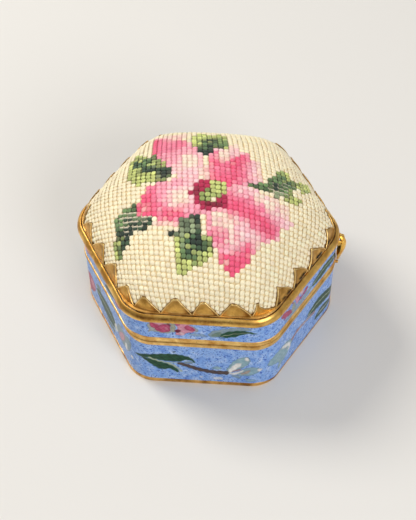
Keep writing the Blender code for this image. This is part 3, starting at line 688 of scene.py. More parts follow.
def nearest_side(x, y, starts, ends):
    """Distance to the nearest of some straight pieces, and how far along all of them that place is."""
    best = np.full(x.shape, 1e3)
    place = np.zeros(x.shape)
    for index, ((x0, y0), (x1, y1)) in enumerate(zip(starts, ends)):
        share = ((x - x0) * (x1 - x0) + (y - y0) * (y1 - y0)) / max((x1 - x0) ** 2 + (y1 - y0) ** 2, 1e-9)
        share = np.clip(share, 0.0, 1.0)
        distance = np.hypot(x - x0 - share * (x1 - x0), y - y0 - share * (y1 - y0))
        nearer = distance < best
        best = np.where(nearer, distance, best)
        place = np.where(nearer, (index + share) / len(starts), place)
    return best, place


def brush_streaks(run, height):
    """Soft streaks of a loaded brush, from 0 to 1: a few waves laid over each other at odd angles."""
    wave = (np.sin(2.9 * run + 1.1 * height) + np.sin(1.3 * run - 3.7 * height + 2.0)
            + np.sin(5.3 * run + 4.1 * height + 0.6) + 0.7 * np.sin(8.7 * run - 6.1 * height + 3.1))
    return np.clip(0.5 + wave / 5.0, 0.0, 1.0)


def inside_outline(x, y, outline):
    """Whether points lie inside an outline, by counting the sides that a line to the right crosses."""
    inside = np.zeros(x.shape, dtype=bool)
    points = np.array(outline, dtype=float)
    for (x0, y0), (x1, y1) in zip(points, np.roll(points, -1, axis=0)):
        if y0 == y1:
            continue
        inside ^= ((y0 > y) != (y1 > y)) & (x < (x1 - x0) * (y - y0) / (y1 - y0) + x0)
    return inside


def patch_depth(outline):
    """A function for how deep places lie inside a closed outline, negative outside it."""
    following = np.roll(outline, -1, axis=0)

    def depth(x, y):
        distance, _ = nearest_side(x, y, outline, following)
        return np.where(inside_outline(x, y, outline), distance, -distance)
    return depth


def line_depth(points, first, last):
    """A function for how deep places lie inside a line whose half width runs from first to last."""
    def depth(x, y):
        distance, place = nearest_side(x, y, points[:-1], points[1:])
        return first + (last - first) * place - distance
    return depth


def strokes():
    """Every patch, then every line: its paint, strength, points, the margin round them, and its depth.

    Each comes twice, where the photograph shows it and half way round the box, on the flats it doesn't show.
    """
    turns = np.array([[0.0, 0.0], [HEX_LENGTH / MM / 2, 0.0]])
    for paint, strength, flat in FRONT_PATCHES + RIGHT_PATCHES + LEFT_PATCHES:
        for turn in turns:
            outline = rounded_outline(flat) + turn
            yield paint, strength, outline, PAINT_MARGIN, patch_depth(outline)
    for paint, first, last, flat in LINES:
        for turn in turns:
            points = np.array(flat, dtype=float).reshape(-1, 2) + turn
            yield paint, LINE_STRENGTH, points, PAINT_MARGIN + 1.0, line_depth(points, first, last)


def paint_wall(run, height):
    """Colour and cover of the sprigs at each point of the wall, in mm.

    A point takes a stroke's paint by its depth inside it: edge tone first, then the streaked body. Strokes
    lie over each other in their order, and their outlines wobble a little.
    """
    colour = np.zeros(run.shape + (3,))
    cover = np.zeros(run.shape)
    around = HEX_LENGTH / MM
    wobble_run = run + 0.10 * np.sin(3.1 * height + 1.7 * run)
    wobble_height = height + 0.09 * np.sin(3.7 * run - 1.9 * height)
    streaks = brush_streaks(run, height)
    for paint, strength, points, margin, depth_of in strokes():
        middle = points[:, 0].mean()
        away = (wobble_run - middle + around / 2) % around - around / 2
        near = np.abs(away) < np.ptp(points[:, 0]) + PAINT_MARGIN
        near &= (height > points[:, 1].min() - margin) & (height < points[:, 1].max() + margin)
        if not near.any():
            continue
        depth = depth_of(away[near] + middle, wobble_height[near])
        amount = (np.clip(depth / SOFT_EDGE + 0.5, 0.0, 1.0) * strength)[:, None]
        body, light, edge = PAINTS[paint]
        streak = (0.75 * streaks[near])[:, None]
        rim = np.exp(-(np.maximum(depth, 0.0) / EDGE_TONE) ** 2)[:, None] * 0.7
        tone = (body * (1.0 - streak) + light * streak) * (1.0 - rim) + edge * rim
        colour[near] = colour[near] * (1.0 - amount) + tone * amount
        cover[near] = cover[near] + (1.0 - cover[near]) * amount[:, 0]
    return colour / np.maximum(cover, 1e-4)[..., None], cover


# Enamelled walls and gilt bands

def enamel_wall(name, bottom, top, rows, columns):
    """A closed wall: a fine painted outer face, and an inner face in one strip."""
    runs = np.arange(columns) * HEX_LENGTH / columns
    heights = np.concatenate([np.linspace(bottom, top, rows), [top, bottom]])
    offsets = np.concatenate([np.zeros(rows), [-WALL, -WALL]])
    run_grid, height_grid = np.meshgrid(runs, heights)
    points, _ = along_hexagon(run_grid, np.broadcast_to(offsets[:, None], run_grid.shape))
    points = np.concatenate([points, height_grid[..., None]], axis=-1)
    colour, cover = paint_wall(run_grid / MM, height_grid / MM)
    cover[rows:] = 0.0
    return make_piece(name, points, grid_quads(len(heights), columns, wrap_rows=True, wrap_columns=True),
                      colours=colour, extra=cover)


def bezel_section():
    """A full face that slopes in from the enamel to a soft crest at the inner top edge, and its back."""
    low, top = BEZEL_LOW / MM - 0.35, BEZEL_TOP / MM
    face = [(-0.1, low), (0.68, low), (0.80, low + 0.10), (0.85, low + 0.40), (0.82, low + 0.78),
            (0.73, low + 1.12), (0.58, low + 1.42), (0.42, low + 1.62), (0.28, top - 0.07),
            (0.18, top - 0.01), (0.06, top + 0.14), (-0.06, top + 0.18), (-0.18, top + 0.12),
            (-0.26, top - 0.04), (-0.29, top - 0.30), (-0.5, low)]
    return [(x * MM, z * MM) for x, z in face]


# Brown film on the bezel, from 0 to 1, at each point of its section
BEZEL_FILM = np.array([0.2, 0.0, 0.0, 0.0, 0.4, 0.9, 1.0, 0.7, 0.2, 0.0, 0.0, 0.0, 0.2, 0.8, 0.9, 0.9])


def seam_section(side):
    """A band folded in over the enamel's end, with a round lip; side is 1 above the parting, -1 below."""
    fold = [(-1.02, 0.40), (-1.02, 0.13)]
    lip = [(0.08, 0.13), (0.18, 0.18), (0.24, 0.30), (0.22, 0.46), (0.13, 0.58), (0.09, 0.72)]
    field = [(0.11, 1.20), (0.14, 1.38), (0.12, 1.54), (0.04, 1.66), (-0.30, 1.70), (-0.30, 0.40)]
    points = [(x * MM, PARTING + side * z * MM) for x, z in fold + lip + field]
    return points[::side]


# Brown film on the upper seam band at each point of its section: in the fold and on the lip
SEAM_FILM = np.array([0.5, 0.6, 0.6, 0.5, 0.35, 0.15, 0.0, 0.0, 0.0, 0.0, 0.0, 0.0, 0.0, 0.0])


def place_on_hexagon(runs):
    """Distance from the middle of the front flat in mm, negative to the left."""
    around = HEX_LENGTH / MM
    return (runs / MM + around / 2) % around - around / 2


def make_rims():
    """Bezel, seam bands and foot band, more or less filmed from flat to flat.

    The seam bands are filed narrow on the front left flat, the foot band on the front right one.
    """
    runs = corner_rich_runs(24, 14)
    place = place_on_hexagon(runs)
    film = BEZEL_FILM[:, None] * np.interp(place, (-22.0, -14.0, 10.0, 18.0), (0.3, 1.0, 0.9, 0.35))
    bezel = sweep_section("bezel_roll", bezel_section(), runs, wave=0.04 * MM, shift=TOP_SHIFT, film=film)
    dress(bezel, "lid", GILT_BEZEL, "gilt_brass", "lid_bezel")
    narrow = np.interp(place, (-50.0, -46.5, -20.0, -15.0), (1.0, 0.36, 0.36, 1.0))
    film = SEAM_FILM[:, None] * np.interp(place, (-16.0, -8.0), (0.5, 1.0))
    upper = sweep_section("lid_mouth_band", seam_section(1), runs, wave=0.02 * MM, stretch=narrow,
                          about=PARTING, film=film)
    dress(upper, "lid", GILT_BANDS, "gilt_brass", "lid_mouth_rim")
    lower = sweep_section("base_mouth_band", seam_section(-1), runs, wave=0.02 * MM, stretch=narrow,
                          about=PARTING, film=film[::-1])
    dress(lower, "base", GILT_BANDS, "gilt_brass", "base_mouth_rim")
    section = rounded_section(-0.3 * MM, 0.10 * MM, 0.0, 1.3 * MM, 0.1 * MM)
    shallow = np.interp(place, (14.0, 19.0, 44.0, 50.0), (1.0, 0.28, 0.28, 1.0))
    foot = sweep_section("foot_band", section, runs, wave=0.02 * MM, stretch=shallow)
    dress(foot, "base", GILT, "gilt_brass", "base_foot_rim")


def make_walls():
    """Both walls: each ends a gap short of the bezel or the table, and inside the fold of its seam band."""
    gap, fold = 0.12 * MM, 0.20 * MM
    lid = enamel_wall("lid_enamel", PARTING + fold, BEZEL_LOW - gap, 52, 1240)
    dress(lid, "lid", ENAMEL, "painted_enamel", "lid_wall")
    base = enamel_wall("base_enamel", gap, PARTING - fold, 84, 1180)
    dress(base, "base", ENAMEL, "painted_enamel", "base_wall")


# Crown of the cushion

def crown_edge(bearing):
    """Reach of the crown's foot in a direction, and how full it is there.

    The foot is a rounded hexagon: one over the power mean of how far the direction goes towards each pair
    of flats. Fullness is that reach over the reach of a round crown, a little less than 1 at the flats.
    """
    drawn = FOOT_OFFSET + FOOT_LEAN * np.sin(bearing)
    half_width = ACROSS_CORNERS / 2
    normals = np.array([[0.0, 1.0], [ACROSS_FLATS, half_width], [-ACROSS_FLATS, half_width]])
    normals /= np.hypot(*normals.T)[:, None]
    reaches = np.array([ACROSS_FLATS / 2, half_width * normals[1, 0], half_width * normals[1, 0]])
    toward = np.stack([np.cos(bearing), np.sin(bearing)], axis=-1) @ normals.T
    mean = ((np.abs(toward) / (reaches + drawn[..., None])) ** FOOT_POWER).sum(-1) ** (1.0 / FOOT_POWER)
    return 1.0 / mean, 1.0 / mean / (FULLNESS * (ACROSS_FLATS / 2 + FOOT_OFFSET))


def crown_tables(directions=361, steps=140):
    """For each direction: distance over the crown, horizontal reach and height, from the top out to the foot.

    The level of a line round the crown is its share of the reach, times the fullness near the top and times
    1 at the foot, so the upper lines are nearly round and the lowest is the hexagon. The height falls off
    with the level as a superellipse does.
    """
    angles = np.linspace(-math.pi, math.pi, directions)
    edge, fullness = crown_edge(angles)
    share = np.sin(np.linspace(0.0, math.pi / 2, steps))
    level = share * (fullness[:, None] * (1.0 - share ** FOOT_BLEND) + share ** FOOT_BLEND)
    reach = share * edge[:, None]
    fall = np.clip(1.0 - level ** CROWN_OUTER, 0.0, 1.0) ** (1.0 / CROWN_INNER)
    height = CROWN_FOOT + (CROWN_TOP - CROWN_FOOT) * fall
    pieces = np.hypot(np.diff(reach, axis=1), np.diff(height, axis=1))
    distance = np.concatenate([np.zeros((directions, 1)), np.cumsum(pieces, axis=1)], axis=1)
    return distance, reach, height


CROWN_DISTANCE, CROWN_REACH, CROWN_HEIGHT = crown_tables()


def crown_point(across, up):
    """Point of the crown under a canvas place, at its distance from the centre measured over the surface."""
    bearing = np.arctan2(up, across)
    distance = np.hypot(across, up)
    turn = (bearing + math.pi) / (2 * math.pi) * (len(CROWN_DISTANCE) - 1)
    first = np.clip(turn.astype(int), 0, len(CROWN_DISTANCE) - 2)
    part = (turn - first)[..., None]
    between = lambda table: table[first] * (1 - part) + table[first + 1] * part
    lengths, reaches, heights = between(CROWN_DISTANCE), between(CROWN_REACH), between(CROWN_HEIGHT)
    step = np.clip((lengths < distance[..., None]).sum(-1) - 1, 0, lengths.shape[-1] - 2)
    pick = lambda table, index: np.take_along_axis(table, index[..., None], -1)[..., 0]
    share = (distance - pick(lengths, step)) / (pick(lengths, step + 1) - pick(lengths, step))
    reach = pick(reaches, step) * (1 - share) + pick(reaches, step + 1) * share
    height = pick(heights, step) * (1 - share) + pick(heights, step + 1) * share
    x, y = reach * np.cos(bearing) + TOP_SHIFT[0], reach * np.sin(bearing) + TOP_SHIFT[1]
    return np.stack([x, y, height], axis=-1)


def crown_limit(bearing):
    """Distance over the crown from its centre to its foot in each direction."""
    return np.interp(bearing, np.linspace(-math.pi, math.pi, len(CROWN_DISTANCE)), CROWN_DISTANCE[:, -1])


def canvas_point(column, row):
    """Crown point and outward normal at a canvas place counted in stitches."""
    def place(column, row):
        across, up = column * COLUMN_PITCH, row * ROW_PITCH
        cosine, sine = math.cos(CANVAS_TURN), math.sin(CANVAS_TURN)
        return crown_point(across * cosine - up * sine, across * sine + up * cosine)
    small = 0.05
    point = place(column, row)
    normal = np.cross(place(column + small, row) - point, place(column, row + small) - point)
    return point, normal / np.linalg.norm(normal, axis=-1, keepdims=True)


def canvas_place(across, up):
    """Canvas column and row under a distance across and up from the crown's centre."""
    cosine, sine = math.cos(CANVAS_TURN), math.sin(CANVAS_TURN)
    return (across * cosine + up * sine) / COLUMN_PITCH, (up * cosine - across * sine) / ROW_PITCH


def row_fall(column):
    """How far a row lies from its level at a column, in stitches, and how fast it falls there.

    The canvas is stretched out of square: rows fall to the right, steeply at the left and hardly at all
    at the right.
    """
    return -(0.20 * column - 0.0038 * column ** 2), -(0.20 - 0.0076 * column)


# Chart of the petit point, in stitches from the middle of the cushion

THREADS = {
    "cream": linear(253, 240, 206), "hot": linear(244, 92, 130), "rose": linear(246, 132, 160),
    "pink": linear(251, 170, 186), "pale": linear(254, 206, 208), "blush": linear(252, 224, 204),
    "ivory": linear(253, 238, 212), "crimson": linear(186, 34, 78), "wine": linear(130, 20, 48),
    "lime": linear(206, 214, 128), "moss": linear(160, 174, 100), "sage": linear(154, 168, 128),
    "leaf": linear(116, 146, 92), "pine": linear(74, 102, 70), "dark": linear(42, 60, 46),
    "umber": linear(104, 78, 58),
}
THREAD_NAMES = list(THREADS)
GREEN_THREADS = ("lime", "moss", "sage", "leaf", "pine", "dark", "umber")
HEART_THREADS = ("crimson", "wine")

# What a stitch belongs to
GROUND, PETAL, LEAF, HEART = range(4)

# Patches of one thread, each over those before it; where there is none the ground is cream
CHART = (
    # Upper left petal
    ("pale", ((-10.5, 19.5), (-10.3, 11), (-9.4, 9), (-8.9, 6.6), (-7.6, 5), (-6.6, 4), (-3, -0.4),
              (-0.6, 0.4), (0, 7.5), (-0.6, 8.5), (-1.2, 9.8), (-2.2, 11), (-2.2, 12.3), (-3.2, 13),
              (-3.4, 15.2), (-4, 14.7), (-4.8, 14.8), (-5.5, 14.5), (-6, 15.2), (-7, 15.9), (-8.2, 16.4),
              (-8.8, 17.2), (-9.8, 18), (-10, 19.5))),
    ("blush", ((-9.8, 19), (-8.8, 17.4), (-7, 16), (-5.5, 14.6), (-3.4, 15.2), (-3.2, 19))),
    ("rose", ((-10.3, 10), (-8.4, 9.6), (-5.2, 10.4), (-3.4, 11.4), (-3.2, 13), (-3.6, 14.8), (-4.8, 14.8),
              (-6, 15.2), (-7.4, 15.8), (-7.8, 17), (-8.8, 17.2), (-9.8, 18), (-10.4, 18.8))),
    ("hot", ((-10.5, 19), (-10.4, 11), (-9.4, 10.6), (-9.2, 13), (-9.2, 16), (-9.6, 19))),
    ("hot", ((-4.9, 12.5), (-3.6, 12.5), (-3.6, 14.6), (-4.9, 14.6))),
    ("pink", ((-9.5, 9.8), (-9.2, 8), (-8.8, 6.3), (-7.4, 4.8), (-5.2, 5.4), (-2.6, 8.8), (-1.4, 9.2),
              (-2.2, 11), (-5.2, 10.4), (-8.4, 9.8))),
    ("pale", ((-6.4, 4), (-5, 8), (-2, 8.4), (-0.4, 6), (0, 3), (-0.8, 0.6), (-3, -0.1), (-6.2, 3.6))),
    ("ivory", ((-5.1, 4), (-4.6, 8.5), (-2.2, 8.5), (-1.4, 6.4), (-2, 4))),
    ("ivory", ((-1.4, 1), (0.6, 1), (0.4, 5), (-0.9, 5))),
    # Left petal
    ("pink", ((-3.6, 0.6), (-5.6, 1.4), (-9.6, 1.2), (-11.2, 1.4), (-11.6, 0.2), (-12.2, -0.8),
              (-12.6, -2.2), (-13.4, -3.2), (-14.2, -3.8), (-14, -4.6), (-12.8, -5.2), (-10.8, -5.6),
              (-10.2, -6.4), (-9.4, -7.2), (-7.6, -7.6), (-5.6, -8.2), (-4.6, -8), (-3.6, -7.2),
              (-1.6, -5.4), (-2.4, -3.4), (-3.2, -1.8))),
    ("rose", ((-9, 1.3), (-11.2, 1.4), (-12.2, -0.8), (-13.4, -3.2), (-14.2, -3.8), (-14, -4.6),
              (-10.8, -5.6), (-8.8, -4.8), (-8.6, -2.3), (-9.6, -0.3))),
    ("hot", ((-11.9, -0.3), (-10.2, -0.6), (-10, -3.4), (-9, -5), (-4.3, -5.4), (-4, -7.6), (-7.6, -7.5),
             (-10.2, -6.3), (-12.8, -5.2), (-14, -4.6), (-13.4, -3.2), (-12.6, -2.2))),
    ("pale", ((-7, -0.5), (-3.6, 0.2), (-2.6, -1.6), (-2.6, -4.4), (-4, -5.2), (-7.6, -4.8), (-8, -2.6))),
    ("ivory", ((-6.8, -1.4), (-3.4, -1.2), (-3, -3.2), (-3.2, -4.8), (-6.6, -4.8))),
    ("blush", ((-10, -7.2), (-7.6, -7.8), (-5.4, -8.2), (-5.4, -8.8), (-8, -8.7), (-10, -8))),
    ("pink", ((-3, -4.9), (-1, -5.1), (-0.4, -6.3), (-1.4, -7.2), (-3.8, -7.1), (-4.4, -6))),
    # Upper right petal
    ("pale", ((0.2, 0.3), (0, 7.5), (0.9, 8.2), (1.6, 9.4), (2.4, 10.2), (3.6, 10.4), (4.4, 10.4), (6, 10),
              (7, 8.8), (8.4, 8.8), (8.4, 6.6), (10, 6.8), (11, 6.4), (10.9, 3.4), (10.2, 0.6), (8.3, -0.5),
              (3.2, -1.3))),
    ("blush", ((3.8, 10), (4.4, 12), (6, 12), (6.2, 10))),
    ("blush", ((9.8, 6.9), (11, 6.4), (11, 3.4), (10.3, 0.8), (9.6, 2.4))),
    ("pink", ((0.3, 0.4), (0.6, 7), (1, 8.4), (2.4, 10), (2.8, 7.4), (4.6, 5.6), (5, 5.6), (6, 7.6),
              (8.2, 8.9), (8.2, 6.2), (8.6, 4), (8.4, 1), (7.6, -0.3), (3.2, -1.2))),
    ("rose", ((0.8, 0.4), (0.8, 6.6), (1, 8), (1.6, 9.6), (2.5, 9.8), (2.6, 6.6), (4.6, 5), (4.7, 6.4),
              (6, 7.8), (8.1, 8.9), (8, 6), (7.4, 4), (7.2, 1.4), (6.8, -0.4), (3.2, -1.2))),
    ("hot", ((1, -0.4), (1, 1.4), (0.9, 4), (0.9, 6.6), (2.6, 6.6), (2.9, 4.2), (4.7, 4), (5, 6.2),
             (6.1, 7.5), (7.6, 8.4), (7.5, 6), (6.4, 4), (6, 1.4), (6, -0.4), (3.2, -1.2))),
    ("rose", ((1.4, 1.6), (4.4, 1.6), (4.4, 3.6), (1.6, 3.8))),
    ("ivory", ((2.8, 8.9), (3, 5.6), (4.6, 5.8), (5, 9), (4, 9.4))),
    # Lower right petal
    ("pale", ((2.8, -1), (5.8, -0.9), (8, -1), (9.4, -1.6), (11.2, -2.4), (12.4, -3.6), (13.8, -5.6),
              (15, -6.1), (16.3, -6.8), (16.1, -7.8), (14.1, -8.5), (13.4, -10.6), (12.8, -11.4),
              (11.6, -12), (9.9, -12.1), (9.6, -10.6), (8.2, -9.8), (7, -8.8), (5.6, -7.6), (4.4, -6.8),
              (2.8, -6.6))),
    ("blush", ((11.6, -2.5), (13.2, -2.9), (15.3, -3.5), (16, -4.8), (15, -6), (13.4, -5.2), (12.4, -3.8))),
    ("ivory", ((8.9, -2.4), (10.6, -2.5), (12.2, -3.9), (13.2, -5.8), (12.2, -6.2), (10.5, -4.4),
               (8.8, -3.6))),
    ("pink", ((2.8, -1.8), (6.6, -2.2), (8.4, -3), (10.2, -4.7), (12.2, -6.5), (13.8, -7.4), (13.2, -8.8),
              (13.2, -10.8), (11.8, -11.8), (9.8, -11.6), (7, -8.8), (4.4, -6.8), (2.8, -6.6))),
    ("rose", ((2.8, -2.2), (5.8, -3), (8.2, -4), (10.4, -5.8), (12.4, -7.6), (13.3, -9.2), (13, -10.8),
              (11.3, -11.3), (9.6, -10.4), (7, -8.7), (5, -7.2), (2.8, -6.6))),
    ("hot", ((2.8, -3), (5.7, -3.9), (7.4, -5), (9.2, -6.3), (11.3, -7.8), (13, -9.5), (12.9, -10.7),
             (11.3, -11), (9.1, -9.4), (7, -7.9), (5, -6.9), (2.8, -6.4))),
    # Bottom petal
    ("pink", ((-0.9, -6), (-1, -11.8), (0.6, -12.6), (1, -14), (1.6, -14.8), (1.8, -16.4), (2.8, -17),
              (3.2, -19.2), (4, -19.5), (5.2, -18.4), (6.4, -17.4), (7.2, -16.8), (7.3, -15.6),
              (8.2, -14.8), (9, -14), (9.8, -13), (10.2, -12), (9.6, -10.6), (8.2, -9.8), (7, -8.8),
              (5.6, -7.6), (4.4, -6.8), (3, -6.3))),
    ("pale", ((5.2, -8.4), (7, -9), (9.6, -10.8), (10, -12.2), (9, -12.8), (6, -12.8), (6, -14.4),
              (3, -14.4), (3, -12.5), (5, -12.2))),
    ("ivory", ((1, -6.4), (3.6, -6.9), (4.7, -8), (5, -12.2), (3, -12.4), (3, -10), (1, -9.6))),
    ("rose", ((-0.9, -10), (3, -10), (3.2, -13), (0.6, -13), (-0.9, -12))),
    ("hot", ((1.8, -14.8), (3.4, -14.6), (6, -14.6), (6.4, -12.6), (7.8, -12.6), (7.9, -14.8), (7.2, -16.8),
             (5.2, -18.4), (4, -19.5), (3.2, -19.2), (2.8, -17), (1.8, -16.4))),
    ("blush", ((8.2, -12.2), (9.9, -12.2), (9, -14), (8.2, -14))),
    # Heart of the flower
    ("crimson", ((-3.4, -2.4), (-2.4, -0.9), (-1.6, -0.1), (-0.6, 0.7), (0.4, 1.1), (1, -0.6), (0.8, -2),
                 (-0.4, -2), (-1.2, -2.8), (-1.4, -4), (-1.5, -5), (-2.6, -4.8), (-2.6, -3.2))),
    ("crimson", ((-1.6, -4.7), (-1, -5.9), (0.6, -6.1), (2, -6.3), (3, -5.9), (3.3, -4.6), (3, -3.4),
                 (1.6, -3.8), (0.8, -4.4))),
    ("wine", ((-2.4, -1.5), (-1.2, -1.5), (-1.2, -2.9), (-2.4, -2.9))),
    ("wine", ((-0.4, -4.6), (2.6, -4.7), (2.6, -5.8), (-0.4, -5.8))),
    ("moss", ((-1.2, -2.8), (-0.4, -1.9), (0.7, -2), (1.3, -3), (1, -3.9), (0.6, -4.5), (-0.8, -4.7),
              (-1.4, -4.2))),
    ("lime", ((0.9, -0.6), (1, 0), (1.6, 0.2), (2.4, -0.1), (3.6, -0.7), (3.9, -2), (3, -2.9), (2, -3.6),
              (1.2, -3.4), (0.8, -2.4))),
    # Bottom leaf
    ("lime", ((-5.2, -8.8), (-4.4, -7.2), (-3.4, -7.1), (-1.2, -7.8), (-1, -11.6), (0.7, -12), (0.6, -14.6),
              (0, -15.8), (-1.6, -16.4), (-3, -17.2), (-4.4, -18), (-5.4, -18.6), (-6.4, -17.8),
              (-6.6, -12.6), (-6.2, -10.4))),
    ("sage", ((-5.4, -8.2), (-4.2, -7.2), (-2.4, -7.6), (-2.4, -11), (-5.2, -11.2))),
    ("leaf", ((-5.2, -11), (-2.4, -11), (-1, -11.8), (0.5, -12.2), (0.4, -14.2), (-1, -14.6), (-3, -15.6),
              (-5.3, -15.9))),
    ("pine", ((-4.4, -10.8), (-2.6, -10.6), (-1, -11.4), (-1, -14.4), (-4.2, -14.6))),
    ("dark", ((-3.2, -7.1), (-1.3, -7.4), (-1.2, -9), (-1.2, -12.4), (-2.4, -13.6), (-4.2, -14.4),
              (-4.2, -12.8), (-2.6, -11.4), (-2.4, -9))),
    ("moss", ((-0.8, -12.2), (0.6, -12.4), (0.6, -14.6), (-0.8, -14.6))),
    # Left leaf
    ("pine", ((-13.4, -2.3), (-14.8, -2.1), (-16.4, -3.1), (-17.8, -3.7), (-18.1, -5.6), (-18.6, -7.4),
              (-19.3, -8.2), (-19.5, -11.6), (-18.8, -13.1), (-18, -12.6), (-17.5, -11.6), (-16.4, -10.5),
              (-15.4, -9.3), (-14.4, -8.5), (-12.4, -8), (-10.8, -7.5), (-10.1, -6.6), (-11, -5.5),
              (-12.4, -5.1), (-14, -5.3), (-13.8, -4))),
    ("leaf", ((-18, -3.9), (-16.4, -3), (-14.8, -2.3), (-13.6, -2.5), (-13.8, -3.8), (-15.6, -3.8),
              (-16.6, -5), (-17.2, -7), (-18.4, -7))),
    ("sage", ((-14.4, -5.4), (-11.6, -5.4), (-11.4, -6.6), (-14.2, -6.6))),
    ("dark", ((-18.2, -7.4), (-16.4, -6.2), (-13, -6.4), (-10.6, -6.6), (-12.6, -7.6), (-16, -8.6),
              (-17.8, -9.8))),
    ("moss", ((-19.5, -8), (-18.2, -7.6), (-17.8, -10), (-18, -12.6), (-18.8, -13.1), (-19.5, -11.6))),
    ("lime", ((-19.5, -9.6), (-18.6, -9.6), (-18.6, -13), (-19.5, -11.6))),
    # Upper left leaf
    ("lime", ((-15.3, 4.6), (-15.6, 10.5), (-14.8, 13.4), (-13.6, 13.7), (-12.2, 11.2), (-11.4, 10.4),
              (-9.6, 10), (-8.4, 7.5), (-6, 3.6), (-7, 2), (-8.6, 1.3), (-11, 1.8), (-13.4, 2.2),
              (-14.6, 3.6))),
    ("leaf", ((-12.2, 5.2), (-9.4, 5.2), (-9.2, 8.5), (-10, 10.4), (-11.8, 10.6), (-12.6, 9))),
    ("pine", ((-14.9, 10.8), (-13.5, 10.6), (-12.6, 8.8), (-12, 7.6), (-10.4, 7.2), (-9.6, 6), (-7.8, 6),
              (-6, 3.6), (-7, 2.2), (-8.4, 1.8), (-9, 4), (-11.6, 5.4), (-13.4, 7.6), (-14.8, 9.4))),
    ("dark", ((-14.8, 10.4), (-13.4, 9.2), (-12.4, 7.2), (-10.8, 6.4), (-9.6, 5.2), (-7.8, 4.8),
              (-6.2, 3.4), (-7, 2.4), (-8.2, 2.4), (-8.8, 3.6), (-11.4, 5.8), (-13.6, 8.6))),
    ("sage", ((-10.1, 3), (-8.4, 2.9), (-8.4, 4.2), (-9.6, 4.6))),
    # Top leaf
    ("lime", ((-2.2, 11.2), (-1.2, 9.6), (0, 8.6), (4, 10.2), (4.4, 13.2), (4.4, 16.4), (3.4, 18.4),
              (2.2, 17.2), (0.8, 17.6), (-0.6, 19), (-1.8, 18.4), (-2.2, 15))),
    ("leaf", ((-1.9, 10.8), (-1, 10.2), (-0.6, 12.4), (-0.6, 14.4), (0.4, 16.6), (1.4, 16), (2, 14.6),
              (3.2, 15.4), (4.4, 14.6), (4.2, 11), (0.7, 8), (-1.2, 9.5))),
    ("moss", ((2.2, 12), (3.2, 12), (3.2, 15.8), (2.2, 15.8))),
    ("dark", ((0, 7.6), (0.7, 7.4), (1.4, 8.6), (2, 9.5), (3.9, 9.8), (3.9, 10.9), (2, 11.2), (2, 15),
              (0.8, 15), (0.7, 11), (0, 9.5))),
    ("dark", ((-1.2, 8.8), (0, 8.6), (0.2, 11), (-1.2, 11))),
    # Stem and right leaf
    ("leaf", ((7, 0.3), (9.3, 0.4), (11.4, 0.4), (11.4, -1.1), (9.2, -1), (7.4, -0.5))),
    ("moss", ((11.2, 1.2), (12.6, 2.9), (13.8, 4.1), (14, 5.6), (15.4, 6.5), (16.4, 6), (16.9, 4.6),
              (18.2, 4.2), (18.2, 2.4), (17.4, 1.6), (16.6, 0.9), (17, -0.6), (18, -1.2), (18.2, -2.2),
              (16.6, -3), (15.4, -2.5), (14.4, -1.7), (13, -2.5), (12, -1.8), (11.1, -0.8))),
    ("leaf", ((11.2, 1.2), (12.6, 2.9), (13.8, 4), (15.2, 3.9), (16, 3.4), (18, 3.6), (17.6, 1.8),
              (15.6, 1.2), (16, -0.2), (15, -1.4), (12.4, -0.9), (11.2, -0.7))),
    ("dark", ((11.2, 0.9), (12.5, 1.9), (13.4, 1.2), (14.8, 0.7), (14.2, -0.7), (12.4, -0.9),
              (11.2, -0.7))),
    ("pine", ((14.6, 3.2), (16.2, 3.1), (17.6, 2.9), (17.2, 1.8), (15.4, 1.9))),
    ("sage", ((12.1, -0.8), (14.4, -0.6), (14.6, -1.7), (13, -2.5), (12, -1.8))),
    ("lime", ((14.2, 4.4), (14.1, 5.7), (15.4, 6.5), (16.3, 6), (16.6, 4.8), (15.6, 4.2))),
    ("lime", ((16.5, -0.8), (17.9, -1.2), (18.2, -2.2), (16.6, -3), (15.5, -2.6), (15.9, -1.6))),
    ("lime", ((17.8, 3.8), (19.2, 4.8), (21, 5.8), (22, 5.9), (21.8, 4.4), (20.4, 2.6), (18.9, 1.4),
              (17.8, 1.8))),
)

# Single odd stitches: thread, column and row
ODD_STITCHES = (
    ("umber", -10.2, 9.8), ("umber", -9.0, 2.2), ("blush", -11.6, -4.4), ("sage", -18.5, -5.4),
    ("dark", -16.0, -9.2), ("dark", -14.5, -8.4), ("dark", -12.2, -7.9), ("dark", -14.6, -4.3),
    ("dark", -15.4, -5.0), ("dark", -7.2, -10.2), ("dark", -6.3, -10.2), ("sage", 12.8, -2.4),
    ("blush", 1.5, -14.5), ("blush", 2.7, -16.1), ("pale", 2.4, 10.0),
)

# Places in the two side leaves where pale thread shows between the rows
BARE = (
    ((11.3, -0.3), (12.7, 1.8), (15.5, 2.3), (17.8, 2.3), (15.1, -1.9), (13, -2.4), (11.9, -1.8),
     (11.2, -0.9)),
    ((-17.5, -3.1), (-13.8, -3.9), (-10.2, -6.2), (-12.3, -7.5), (-14.8, -8.6), (-16.1, -9.2),
     (-17.1, -7.7), (-17.6, -4.9)),
)


def inside_any(column, row, outlines):
    """Whether canvas places lie inside any of some outlines."""
    return np.logical_or.reduce([inside_outline(column, row, outline) for outline in outlines])


def chart_colours(column, row):
    """Thread colour of each stitch, and whether it belongs to the ground, a petal, a leaf or the heart."""
    choice = np.zeros(column.shape, dtype=int)
    for thread, outline in CHART:
        choice[inside_outline(column, row, outline)] = THREAD_NAMES.index(thread)
    for thread, odd_column, odd_row in ODD_STITCHES:
        there = (np.abs(column - odd_column) < 0.5) & (np.abs(row - odd_row) < 0.5)
        choice[there] = THREAD_NAMES.index(thread)
    colours = np.array(list(THREADS.values()))[choice]
    kinds = np.array([LEAF if name in GREEN_THREADS else HEART if name in HEART_THREADS else PETAL
                      for name in THREAD_NAMES])
    kinds[THREAD_NAMES.index("cream")] = GROUND
    return colours, kinds[choice]


